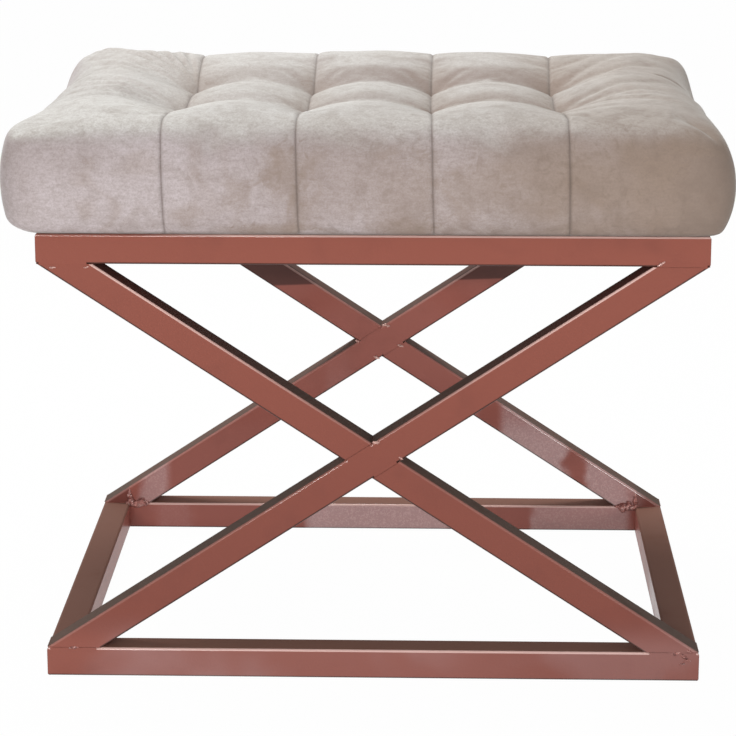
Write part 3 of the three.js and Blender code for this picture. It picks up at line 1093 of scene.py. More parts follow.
@dataclass
class WeldedFrame:
    """The painted tubes and the welds that join them."""

    effects: Effects
    sizes: FrameSizes = field(default_factory=FrameSizes)
    plate_proud: float = 0.00006
    ground_rim: float = 0.0006
    dab_proud: float = 0.0001
    bead_radius: float = 0.0019
    swell_middle: float = 1.22
    swell_change: float = 0.26
    wander: float = 0.35
    foot_fullness: float = 2.0
    heel_fullness: float = 0.9
    heel_climb: float = 0.75
    lump_size: float = 0.0024
    lump_height: float = 0.0016
    ripple_pitch: float = 1.7
    ripple_length: float = 0.55

    def build(self) -> list[Piece]:
        """Dresses the tubes and models the welds.

        Returns:
            The new pieces.
        """
        looks = self._dress_tubes()
        weld = WeldPaint().make(self.effects)
        level, rising = looks[BarRun.LEVEL], looks[BarRun.RISING]
        pieces = self._mitre_fills(level) + self._foot_fills(level) + self._crossing_fills(rising)
        pieces += self._ground_feet(level) + self._ground_crossings(rising) + self._beads(weld)
        # The dabs that catch the light are painted lighter all over, as a painted highlight.
        bright = WeldPaint("frame_paint_dab", copper=(0.60, 0.36, 0.31), crevice_shade=(0.30, 0.12, 0.10))
        return pieces + self._dabs(bright.make(self.effects), weld)

    def _dress_tubes(self) -> dict[BarRun, Material]:
        """Gives each imported tube the paint for the way that it runs.

        Returns:
            The paint for each way.
        """
        paint = FramePaint()
        looks = {run: paint.make(self.effects, run) for run in BarRun}
        for name, node in frame["nodes"].items():
            if name.endswith("_rail"):
                dress(node, looks[BarRun.LEVEL])
            elif name.endswith("_through"):
                dress(node, looks[BarRun.RISING])
            elif "_cross_" in name:
                dress(node, looks[BarRun.FALLING])
        return looks

    @staticmethod
    def _painted(pieces: list[Piece], paint: Material) -> list[Piece]:
        """Paints and carries some welds.

        Args:
            pieces: The welds.
            paint: Their paint.

        Returns:
            The same welds.
        """
        for piece in pieces:
            dress(piece, paint)
            carry(piece)
        return pieces

    def _spread(self, master: Piece, places: dict[str, Matrix], paint: Material) -> list[Piece]:
        """Copies a weld to its places.

        Args:
            master: The weld modelled once, which is removed afterwards.
            places: Each copy's name and placement.
            paint: The paint.

        Returns:
            The copies.
        """
        pieces = [copy_piece(master, name, place) for name, place in places.items()]
        bpy.data.objects.remove(master)
        return self._painted(pieces, paint)

    @staticmethod
    def _corners() -> Iterator[tuple[int, str, int, str]]:
        """Goes round the frame's four corners.

        Returns:
            The signs of Y and X with their names, corner by corner.
        """
        for side_y, back in FRONT_AND_BACK:
            for side_x, hand in LEFT_AND_RIGHT:
                yield side_y, back, side_x, hand

    def _block(self, name: str, size: Place, location: Place = (0.0, 0.0, 0.0)) -> Piece:
        """Starts a piece of weld metal as a block with its place in its mesh.

        Args:
            name: The piece's name.
            size: Its length, width and height.
            location: Its middle.

        Returns:
            The block.
        """
        deselect_all()
        bpy.ops.mesh.primitive_cube_add(size=1.0)
        block = named(bpy.context.object, name)
        block.scale = size
        block.location = location
        apply_place(block)
        return block

    def _fill_plate(self, name: str, length: float) -> Piece:
        """Models the metal that fills the joint between two square tubes.

        Args:
            name: The piece's name.
            length: The joint's length along X, where the tubes are cut aslant.

        Returns:
            A thin plate in the XY plane with rounded corners, centred on the origin.
        """
        side, gap = self.sizes.tube, self.sizes.gap
        plate = self._block(name, (side, side, gap))
        proud = 2 * self.plate_proud
        with edit_mode(plate) as mesh:
            bpy.ops.mesh.select_mode(type="EDGE")
            select_only(mesh, mesh.edges, lambda edge: abs((edge.verts[0].co - edge.verts[1].co).z) > gap / 2)
            bpy.ops.mesh.bevel(offset=self.sizes.corner, segments=5, affect="EDGES")
            bpy.ops.mesh.select_all(action="SELECT")
            bpy.ops.transform.resize(value=((length + proud) / side, 1 + proud / side, 1.0),
                                     center_override=(0.0, 0.0, 0.0))
        return plate

    def _mitre_fills(self, paint: Material) -> list[Piece]:
        """Fills the eight mitred corners of the two rings.

        Args:
            paint: The rails' paint.

        Returns:
            The fills.
        """
        sizes = self.sizes
        upright = Matrix.Rotation(math.pi / 2, 4, "X")
        places = {}
        for ring, height in (("base", sizes.tube / 2), ("top", sizes.height - sizes.tube / 2)):
            for side_y, back, side_x, hand in self._corners():
                turn = Matrix.Rotation(math.pi / 4 * side_x * side_y, 4, "Z")
                place = Matrix.Translation((side_x * sizes.rail_x, side_y * sizes.rail_y, height))
                places[f"{ring}_{back}_{hand}_mitre_weld"] = place @ turn @ upright
        return self._spread(self._fill_plate("mitre_weld", sizes.tube * math.sqrt(2)), places, paint)

    def _rings(self) -> tuple[tuple[float, int, str], ...]:
        """Gives the height of the two rings' inner faces, the way towards the bars, and their names."""
        return (self.sizes.tube, 1, "base"), (self.sizes.height - self.sizes.tube, -1, "top")

    def _foot_fills(self, paint: Material) -> list[Piece]:
        """Fills the joints where the crossing bars land on the rails.

        Args:
            paint: The rails' paint.

        Returns:
            The fills.
        """
        sizes = self.sizes
        places = {}
        for side_y, back in FRONT_AND_BACK:
            for height, up, level in self._rings():
                for side_x, hand in LEFT_AND_RIGHT:
                    x = side_x * (sizes.width - sizes.footprint) / 2
                    spot = (x, side_y * sizes.rail_y, height + up * sizes.gap / 2)
                    places[f"{back}_{level}_{hand}_bar_weld"] = Matrix.Translation(spot)
        return self._spread(self._fill_plate("bar_weld", sizes.footprint), places, paint)

    @property
    def _slope(self) -> tuple[Vector, Vector]:
        """The way along the through bar and the way across it, upwards."""
        cosine, sine = math.cos(self.sizes.cross_angle), math.sin(self.sizes.cross_angle)
        return Vector((cosine, 0.0, sine)), Vector((-sine, 0.0, cosine))

    def _crossing_fills(self, paint: Material) -> list[Piece]:
        """Fills the joints where the half bars are coped against the through bar.

        Args:
            paint: The through bars' paint.

        Returns:
            The fills.
        """
        sizes = self.sizes
        along, across = self._slope
        reach = (sizes.tube + sizes.gap) / 2
        turn = Matrix.Rotation(-sizes.cross_angle, 4, "Y")
        places = {}
        for side_y, back in FRONT_AND_BACK:
            for sign, half in ((1, "upper"), (-1, "lower")):
                centre = Vector((0.0, side_y * sizes.rail_y, sizes.height / 2))
                centre += sign * reach * (across - along / math.tan(2 * sizes.cross_angle))
                places[f"{back}_{half}_crossing_weld"] = Matrix.Translation(centre) @ turn
        return self._spread(self._fill_plate("crossing_weld", sizes.crossing_cut), places, paint)

    def _ground_run(self, name: str, length: float) -> Piece:
        """Models a weld run that was ground level with the faces on both sides of it.

        Args:
            name: The piece's name.
            length: The run's length.

        Returns:
            A wedge along X whose level top faces +Z, with the rounded corner that it fills on its -Y side.
        """
        radius, gap = self.sizes.corner, self.sizes.gap
        size = (length, radius + gap + 2 * self.ground_rim, radius)
        run = self._block(name, size, (0.0, (gap - radius) / 2, self.plate_proud - radius / 2))
        with edit_mode(run) as mesh:
            select_only(mesh, mesh.faces, lambda face: face.normal.z < -0.9)
            bpy.ops.transform.resize(value=(0.94, 0.06, 1.0), center_override=(0.0, gap / 2, 0.0))
            select_only(mesh, mesh.faces, lambda face: abs(face.normal.x) > 0.5)
            bpy.ops.mesh.inset(thickness=self.ground_rim / 2)
        return run

    def _ground_feet(self, paint: Material) -> list[Piece]:
        """Levels the joints of the crossing bars and the rails on the frame's outer faces.

        Args:
            paint: The rails' paint.

        Returns:
            The ground welds.
        """
        sizes = self.sizes
        radius = sizes.corner
        slack = radius / math.sin(sizes.cross_angle)
        reach = sizes.width / 2 - (sizes.footprint + radius - slack) / 2
        places = {}
        for side_y, back, side_x, hand in self._corners():
            for height, up, level in self._rings():
                spot = (side_x * reach, side_y * sizes.depth / 2, height)
                place = self._facing(spot, Vector((0.0, 0.0, up)), Vector((0.0, side_y, 0.0)))
                places[f"{back}_{level}_{hand}_ground_weld"] = place
        return self._spread(self._ground_run("ground_weld", sizes.footprint - radius - slack), places, paint)

    def _ground_crossings(self, paint: Material) -> list[Piece]:
        """Levels the crossings on both faces of each pair of bars.

        Args:
            paint: The through bars' paint.

        Returns:
            The ground welds.
        """
        sizes = self.sizes
        along, across = self._slope
        slack = 2 * sizes.corner / math.sin(2 * sizes.cross_angle)
        places = {}
        for side_y, back in FRONT_AND_BACK:
            for side, half in ((1, "upper"), (-1, "lower")):
                for face, label in ((-1, "outer"), (1, "inner")):
                    spot = Vector((0.0, side_y * sizes.rail_y + face * sizes.tube / 2, sizes.height / 2))
                    spot += side * sizes.tube / 2 * (across - along / math.tan(2 * sizes.cross_angle))
                    place = self._facing(spot, side * across, Vector((0.0, face, 0.0)))
                    places[f"{back}_{half}_{label}_ground_crossing"] = place
        return self._spread(self._ground_run("ground_crossing", sizes.crossing_cut - slack), places, paint)

    @staticmethod
    def _facing(spot: Sequence[float], across: Vector, out: Vector) -> Matrix:
        """Gives the placement that turns +Y to one way and +Z to another, at a spot."""
        turn = Matrix((across.cross(out), across, out)).transposed()
        return Matrix.Translation(spot) @ turn.to_4x4()

    def _dabs(self, bright: Material, dull: Material) -> list[Piece]:
        """Models the small dabs of weld metal left at the ends of the ground joints.

        Args:
            bright: The paint of the dabs that catch the light, painted lighter as a painted highlight.
            dull: The paint of the dabs on the base.

        Returns:
            The dabs.
        """
        front = -self.sizes.depth / 2 - self.dab_proud
        inner = self.sizes.depth / 2 - self.sizes.tube - self.dab_proud
        pieces = []
        for seed, dab in enumerate(FRONT_DABS + INNER_DABS):
            y = (front if dab in FRONT_DABS else inner) + dab.back
            ends = (dab.start[0], y, dab.start[1]), (dab.end[0], y, dab.end[1])
            bead = self._bead(dab.name, *ends, dab.fullness, seed)
            pieces += self._painted([bead], dull if dab.name.startswith("base") else bright)
        return pieces

    def _beads(self, paint: Material) -> list[Piece]:
        """Models the weld runs that weren't ground flush, on the inner faces of the frame.

        Args:
            paint: The weld metal's paint.

        Returns:
            The weld runs.
        """
        sizes, tube = self.sizes, self.sizes.tube
        climb = tube + self.heel_climb * math.tan(sizes.cross_angle) * tube
        pieces = []
        for side_y, back, side_x, hand in self._corners():
            y = side_y * (sizes.depth / 2 - tube)
            heel = side_x * (sizes.width / 2 - tube)
            toe = side_x * (sizes.width / 2 - sizes.footprint)
            corner, seed = (heel, y, tube), side_x + 3 * side_y
            foot_end = ((heel + 3 * toe) / 4, y, tube)
            where, heel_top = f"{back}_{hand}", (heel, y, climb)
            pieces.append(self._bead(f"{where}_foot_bead", corner, foot_end, self.foot_fullness, seed))
            pieces.append(self._bead(f"{where}_heel_bead", corner, heel_top, self.heel_fullness, 7 + seed))
        return self._painted(pieces, paint)

    def _bead(self, name: str, start: Place, end: Place, fullness: float, seed: int) -> Piece:
        """Models one lumpy weld run.

        Args:
            name: The piece's name.
            start: Where the run begins.
            end: Where the run ends.
            fullness: The run's thickness as a share of the usual bead.
            seed: Picks the run's lumps.

        Returns:
            The weld run.
        """
        start, end = Vector(start), Vector(end)
        run, radius = end - start, self.bead_radius * fullness
        direction = run.normalized()
        deselect_all()
        bpy.ops.mesh.primitive_uv_sphere_add(segments=16, ring_count=24, radius=1.0)
        bead = named(bpy.context.object, name)
        bead.scale = (radius, radius, run.length / 2 + radius)
        bead.rotation_euler = run.to_track_quat("Z", "Y").to_euler()
        bead.location = (start + end) / 2
        apply_place(bead)
        steps = max(3, round(run.length / (self.ripple_pitch * radius)))
        with edit_mode(bead) as mesh:
            for step in range(steps):
                low, high = (place / steps * run.length for place in (step, step + self.ripple_length))
                select_only(mesh, mesh.faces,
                            lambda face: low < (face.calc_center_median() - start).dot(direction) < high)
                swell = self.swell_middle + self.swell_change * math.sin(2.3 * step + seed)
                middle = start + direction * (low + high) / 2
                bpy.ops.transform.resize(value=(swell, swell, swell), center_override=middle)
                lift = self.wander * radius * math.sin(3.1 * step + seed)
                bpy.ops.transform.translate(value=(0.0, 0.0, lift))
        apply_modifier(bead, "SUBSURF", levels=1, render_levels=1)
        clouds = bpy.data.textures.new(f"{name}_lumps", "CLOUDS")
        clouds.noise_scale = self.lump_size
        apply_modifier(bead, "DISPLACE", texture=clouds, strength=self.lump_height * fullness, mid_level=0.5,
                       texture_coords="LOCAL")
        smooth(bead, 80.0)
        return bead


# The seat


def smooth_curve(knots: Sequence[tuple[float, float]], at: np.ndarray) -> np.ndarray:
    """Reads a smooth curve that passes through its knots without overshooting.

    Args:
        knots: The curve's knots, lowest first.
        at: Where to read it.

    Returns:
        The curve's values.
    """
    x, y = np.array(knots).T
    step = np.diff(x)
    slope = np.diff(y) / step
    tangent = np.zeros_like(x)
    same = slope[:-1] * slope[1:] > 0
    tangent[1:-1][same] = 2 * slope[:-1][same] * slope[1:][same] / (slope[:-1] + slope[1:])[same]
    tangent[0], tangent[-1] = slope[0], slope[-1]
    k = np.clip(np.searchsorted(x, at) - 1, 0, len(step) - 1)
    t = limited((at - x[k]) / step[k])
    return ((1 + 2 * t) * (1 - t) ** 2 * y[k] + t * (1 - t) ** 2 * step[k] * tangent[k]
            + t * t * (3 - 2 * t) * y[k + 1] + t * t * (t - 1) * step[k] * tangent[k + 1])


def limited(values: np.ndarray) -> np.ndarray:
    """Keeps values from 0 to 1."""
    return np.clip(values, 0, 1)


def nearest(values: np.ndarray, lines: np.ndarray) -> np.ndarray:
    """Gives the distance from each value to the nearest of some lines."""
    return np.abs(values[..., None] - lines).min(-1)


@dataclass(frozen=True)
class SeatForm:
    """The tufted seat's sizes, in metres, and the run of its heights from front to back."""

    half_x: float = 0.2731
    half_y: float = 0.2056
    corner: float = 0.0121
    bulge_level: float = 0.420
    hem_bottom: float = 0.3782
    hem_top: float = 0.3800
    hem_width: float = 0.032
    hem_corner: float = 0.0018
    board_half_x: float = 0.27115
    board_half_y: float = 0.20365
    board_corner: float = 0.01015
    board_top: float = 0.39545
    top_inset: float = 0.016
    bulge: float = 0.019
    pitch_x: float = 0.104
    pitch_y: float = 0.116
    straight_x: float = 0.170
    straight_y: float = 0.080
    tuft_pinch: float = 0.005
    tuft_reach: float = 0.013
    end_field: float = 0.055
    end_roll: float = 0.045
    end_drop: float = 0.006
    squareness: float = 0.80
    side_seam: float = 0.0030
    fan: float = 0.027
    crests: Knots = (
        (-0.190, 0.4705), (-0.160, 0.4735), (-0.125, 0.4715), (-0.058, 0.4600), (-0.020, 0.4645),
        (0.015, 0.4645), (0.058, 0.4575), (0.110, 0.4670), (0.150, 0.4685), (0.190, 0.4645))
    seams: Knots = (
        (-0.190, 0.4695), (-0.170, 0.4690), (-0.130, 0.4630), (-0.090, 0.4565), (-0.058, 0.4510),
        (-0.025, 0.4530), (0.000, 0.4540), (0.030, 0.4515), (0.058, 0.4480), (0.090, 0.4555),
        (0.120, 0.4615), (0.155, 0.4665), (0.190, 0.4636))
    ends: Knots = (
        (-0.190, 0.4700), (-0.155, 0.4725), (-0.080, 0.4680), (0.000, 0.4650), (0.080, 0.4645),
        (0.150, 0.4675), (0.190, 0.4640))

    @property
    def seams_x(self) -> np.ndarray:
        """Where the seams between the columns lie."""
        return (np.arange(4) - 1.5) * self.pitch_x

    @property
    def seams_y(self) -> np.ndarray:
        """Where the seams between the rows lie."""
        return (np.arange(2) - 0.5) * self.pitch_y

    @property
    def top_x(self) -> float:
        """Half the length of the top inside its rolled edge."""
        return self.half_x - self.top_inset

    @property
    def top_y(self) -> float:
        """Half the width of the top inside its rolled edge."""
        return self.half_y - self.top_inset

    @staticmethod
    def sink(value: np.ndarray, seams: np.ndarray, pitch: float) -> np.ndarray:
        """How close a place is to the nearest seam, from 0 at a crest to 1 on the seam."""
        return (1 - np.minimum(1, nearest(value, seams) / (pitch / 2))) ** 2

    def top_height(self, x: np.ndarray, y: np.ndarray) -> np.ndarray:
        """Gives the height of the tufted top.

        Args:
            x: Places along the seat.
            y: Places across the seat.

        Returns:
            The heights.
        """
        outer = limited((np.abs(x) - self.seams_x[-1]) / self.end_field)
        outer = outer * outer * (3 - 2 * outer)
        crest = smooth_curve(self.crests, y) * (1 - outer) + smooth_curve(self.ends, y) * outer
        height = crest - (crest - smooth_curve(self.seams, y)) * self.sink(x, self.seams_x, self.pitch_x)
        from_tuft = np.hypot(nearest(x, self.seams_x), nearest(y, self.seams_y))
        pinch = self.tuft_pinch * np.exp(-from_tuft / self.tuft_reach)
        roll = np.maximum(0, np.abs(x) - (self.top_x - self.end_roll)) / self.end_roll
        return height - pinch - self.end_drop * roll ** 2

    def fanned(self, x: np.ndarray, y: np.ndarray) -> np.ndarray:
        """Spreads the inner columns a little past the outer rows, as the seams run on the seat.

        Args:
            x: Places along the seat.
            y: Places across the seat.

        Returns:
            The places along the seat after spreading.
        """
        past = limited((np.abs(y) - self.seams_y[-1]) / (self.top_y - self.seams_y[-1]))
        inner = limited((self.top_x - np.abs(x)) / (self.top_x - self.straight_x))
        return x * (1 + self.fan * past * inner)

    @staticmethod
    def spread(value: np.ndarray, straight: float, half: float, grown: float | np.ndarray) -> np.ndarray:
        """Widens places beyond a straight middle part, so that seams stay straight.

        Args:
            value: Places along one side.
            straight: Half the part that stays as it is.
            half: Half the side.
            grown: Half the side after widening.

        Returns:
            The places on the widened side.
        """
        beyond = np.maximum(0, np.abs(value) - straight) / (half - straight)
        return value + np.sign(value) * beyond * (grown - half)

    def outline(self, x: np.ndarray, y: np.ndarray, half_x: float | np.ndarray, half_y: float | np.ndarray,
                radius: float | np.ndarray) -> tuple[np.ndarray, np.ndarray]:
        """Moves places on the top's plain rim onto a larger or smaller rounded outline.

        Args:
            x: Places on the rim, along the seat.
            y: Places on the rim, across the seat.
            half_x: Half the outline's length.
            half_y: Half the outline's width.
            radius: The radius of its corners.

        Returns:
            The places on the outline and their outward ways, as two arrays of pairs.
        """
        wide = self.fanned(self.spread(x, self.straight_x, self.top_x, half_x), y)
        deep = self.spread(y, self.straight_y, self.top_y, half_y)
        core = np.stack([np.clip(wide, radius - half_x, half_x - radius),
                         np.clip(deep, radius - half_y, half_y - radius)], -1)
        out = np.stack([wide, deep], -1) - core
        out /= np.maximum(np.linalg.norm(out, axis=-1, keepdims=True), 1e-12)
        return core + out * np.reshape(radius, (-1, 1)), out


@dataclass(frozen=True)
class Fold:
    """A soft crease pressed into the fabric between two places of the top's plan."""

    start: tuple[float, float]
    end: tuple[float, float]
    depth: float
    width: float

    def press(self, fabric: np.ndarray) -> np.ndarray:
        """Gives how deep the fold presses, with a low ridge beside it.

        Args:
            fabric: Places on the unrolled fabric.

        Returns:
            The depth at each place.
        """
        start, end = np.array(self.start), np.array(self.end)
        way = end - start
        along = limited(((fabric - start) @ way) / (way @ way))
        apart = np.linalg.norm(fabric - (start + along[:, None] * way), axis=-1)
        width = self.width * (0.6 + 0.8 * along)
        fade = np.sin(np.pi * limited(0.12 + 0.88 * (1 - along)) ** 0.8) ** 0.7
        ridge = 0.45 * np.exp(-((apart - 2.1 * width) / (1.1 * width)) ** 2)
        return self.depth * fade * (np.exp(-(apart / width) ** 2) - ridge)


FOLDS: tuple[Fold, ...] = (
    Fold((-0.158, 0.062), (-0.246, 0.178), 0.0020, 0.0030),
    Fold((-0.157, 0.064), (-0.230, 0.192), 0.0026, 0.0026),
    Fold((-0.157, 0.066), (-0.208, 0.194), 0.0025, 0.0024),
    Fold((-0.156, 0.068), (-0.188, 0.192), 0.0022, 0.0022),
    Fold((-0.156, 0.068), (-0.172, 0.180), 0.0017, 0.0022),
    Fold((-0.159, 0.059), (-0.262, 0.142), 0.0015, 0.0046),
    Fold((-0.160, 0.056), (-0.266, 0.104), 0.0011, 0.0046),
    Fold((-0.160, 0.052), (-0.262, 0.066), 0.0009, 0.0050),
    Fold((-0.160, -0.054), (-0.262, 0.022), 0.0018, 0.0054),
    Fold((-0.160, -0.058), (-0.266, -0.022), 0.0016, 0.0052),
    Fold((-0.160, -0.060), (-0.262, -0.064), 0.0013, 0.0054),
    Fold((-0.159, -0.064), (-0.246, -0.112), 0.0016, 0.0054),
    Fold((0.158, 0.062), (0.236, 0.168), 0.0009, 0.0056),
    Fold((0.160, 0.056), (0.258, 0.108), 0.0012, 0.0064),
    Fold((0.160, -0.052), (0.258, 0.020), 0.0017, 0.0070),
    Fold((0.160, -0.058), (0.262, -0.050), 0.0015, 0.0072),
    Fold((0.159, -0.064), (0.244, -0.124), 0.0016, 0.0060),
    Fold((-0.052, 0.062), (-0.030, 0.098), 0.0006, 0.0030),
    Fold((-0.052, 0.062), (-0.078, 0.094), 0.0006, 0.0030),
    Fold((0.052, 0.062), (0.080, 0.096), 0.0006, 0.0030),
    Fold((0.052, 0.062), (0.028, 0.094), 0.0006, 0.0030),
    Fold((-0.054, 0.056), (-0.090, 0.046), 0.0016, 0.0034),
    Fold((-0.050, 0.056), (-0.016, 0.044), 0.0015, 0.0034),
    Fold((0.050, 0.056), (0.014, 0.044), 0.0015, 0.0034),
    Fold((0.054, 0.056), (0.092, 0.046), 0.0016, 0.0034),
    Fold((-0.154, 0.056), (-0.120, 0.044), 0.0016, 0.0034),
    Fold((0.154, 0.056), (0.118, 0.046), 0.0016, 0.0034))


@dataclass(frozen=True)
class Nudge:
    """A soft push of the fabric round one place, as with the palm of a hand."""

    centre: Place
    reach: Place
    move: Place

    def push(self, points: np.ndarray, loose: np.ndarray) -> np.ndarray:
        """Gives each point's move, less the farther it is from the centre.

        Args:
            points: The fabric's points.
            loose: How freely each point moves, as a column.

        Returns:
            The moves, as rows.
        """
        apart = (points - np.array(self.centre)) / np.array(self.reach)
        return np.exp(-(apart ** 2).sum(-1))[:, None] * loose * np.array(self.move)


NUDGES: tuple[Nudge, ...] = (
    Nudge((-0.284, -0.200, 0.461), (0.026, 0.060, 0.011), (-0.0050, -0.0010, 0.0025)),
    Nudge((-0.262, -0.170, 0.472), (0.028, 0.080, 0.014), (0.0070, 0.0, -0.0030)),
    Nudge((-0.290, -0.190, 0.382), (0.024, 0.060, 0.008), (-0.0040, 0.0, 0.0)),
    Nudge((-0.262, 0.190, 0.464), (0.022, 0.034, 0.014), (-0.0080, 0.0020, 0.0050)),
    Nudge((-0.280, 0.120, 0.440), (0.030, 0.060, 0.030), (0.0045, 0.0, 0.0)),
    Nudge((-0.155, 0.165, 0.467), (0.090, 0.055, 0.030), (0.0, 0.0, -0.0030)),
    Nudge((0.170, 0.165, 0.467), (0.080, 0.055, 0.030), (0.0, 0.0, -0.0034)),
    Nudge((-0.052, 0.170, 0.462), (0.013, 0.050, 0.020), (0.0, 0.0, 0.0022)),
    Nudge((0.266, -0.060, 0.458), (0.030, 0.070, 0.018), (0.0040, 0.0, 0.0020)),
    Nudge((0.296, -0.100, 0.446), (0.024, 0.110, 0.014), (-0.0036, 0.0, 0.0)),
    Nudge((0.292, -0.100, 0.392), (0.024, 0.110, 0.014), (-0.0020, 0.0, 0.0)),
    Nudge((0.264, 0.060, 0.460), (0.030, 0.080, 0.022), (0.0025, 0.0, 0.0)),
    Nudge((0.260, 0.186, 0.460), (0.026, 0.034, 0.022), (0.0050, 0.0, 0.0044)),
    Nudge((-0.252, 0.188, 0.468), (0.014, 0.030, 0.010), (-0.0036, 0.0, 0.0010)))


class Shell:
    """The cushion's mesh as it grows downwards from the top, ring by ring."""

    def __init__(self, points: np.ndarray, maps: np.ndarray, held: np.ndarray, faces: list[tuple[int, ...]],
                 rim: np.ndarray) -> None:
        """Starts with the top.

        Args:
            points: The top's points.
            maps: Each point's place on the unrolled fabric.
            held: How firmly each point is held while the cushion fills.
            faces: The top's faces.
            rim: The numbers of its outermost points, in order.
        """
        self.points, self.maps, self.held = [points], [maps], [held]
        self.faces = faces
        self.ring = rim
        self.count = len(points)

    def add_ring(self, points: np.ndarray, maps: np.ndarray, held: np.ndarray) -> None:
        """Joins a ring of points to the last one.

        Args:
            points: The ring's points.
            maps: Their places on the unrolled fabric.
            held: How firmly they are held while the cushion fills.
        """
        upper, lower = self.ring, np.arange(self.count, self.count + len(points))
        for k in range(len(upper)):
            n = (k + 1) % len(upper)
            self.faces.append((int(upper[k]), int(lower[k]), int(lower[n]), int(upper[n])))
        self.points.append(points)
        self.maps.append(maps)
        self.held.append(held)
        self.ring = lower
        self.count += len(points)

    def close(self, columns: int, rows: int) -> None:
        """Closes the last ring with strips from front to back and one face at each end.

        Args:
            columns: How many steps the ring's long sides have.
            rows: How many steps its short sides have.
        """
        number = [int(value) for value in self.ring]
        back = 2 * columns + rows
        self.faces += [(number[i], number[i + 1], number[back - i - 1], number[back - i])
                       for i in range(1, columns - 1)]
        self.faces += [tuple(number[columns - 1:columns + rows + 2]), tuple(number[back - 1:] + number[:2])]

    def to_object(self, name: str) -> Piece:
        """Turns the shell into an object, with a map of the fabric and a group of held points.

        Args:
            name: The object's name.

        Returns:
            The object.
        """
        mesh = bpy.data.meshes.new(name)
        mesh.from_pydata(np.concatenate(self.points).tolist(), [], self.faces)
        maps = np.concatenate(self.maps)[corner_points(mesh)]
        mesh.uv_layers.new(name="fabric").data.foreach_set("uv", maps.astype(np.float32).ravel())
        cushion = bpy.data.objects.new(name, mesh)
        bpy.context.scene.collection.objects.link(cushion)
        group = cushion.vertex_groups.new(name="held")
        held = np.concatenate(self.held)
        for value in np.unique(held[held > 0]):
            group.add(np.nonzero(held == value)[0].tolist(), float(value), "REPLACE")
        return cushion


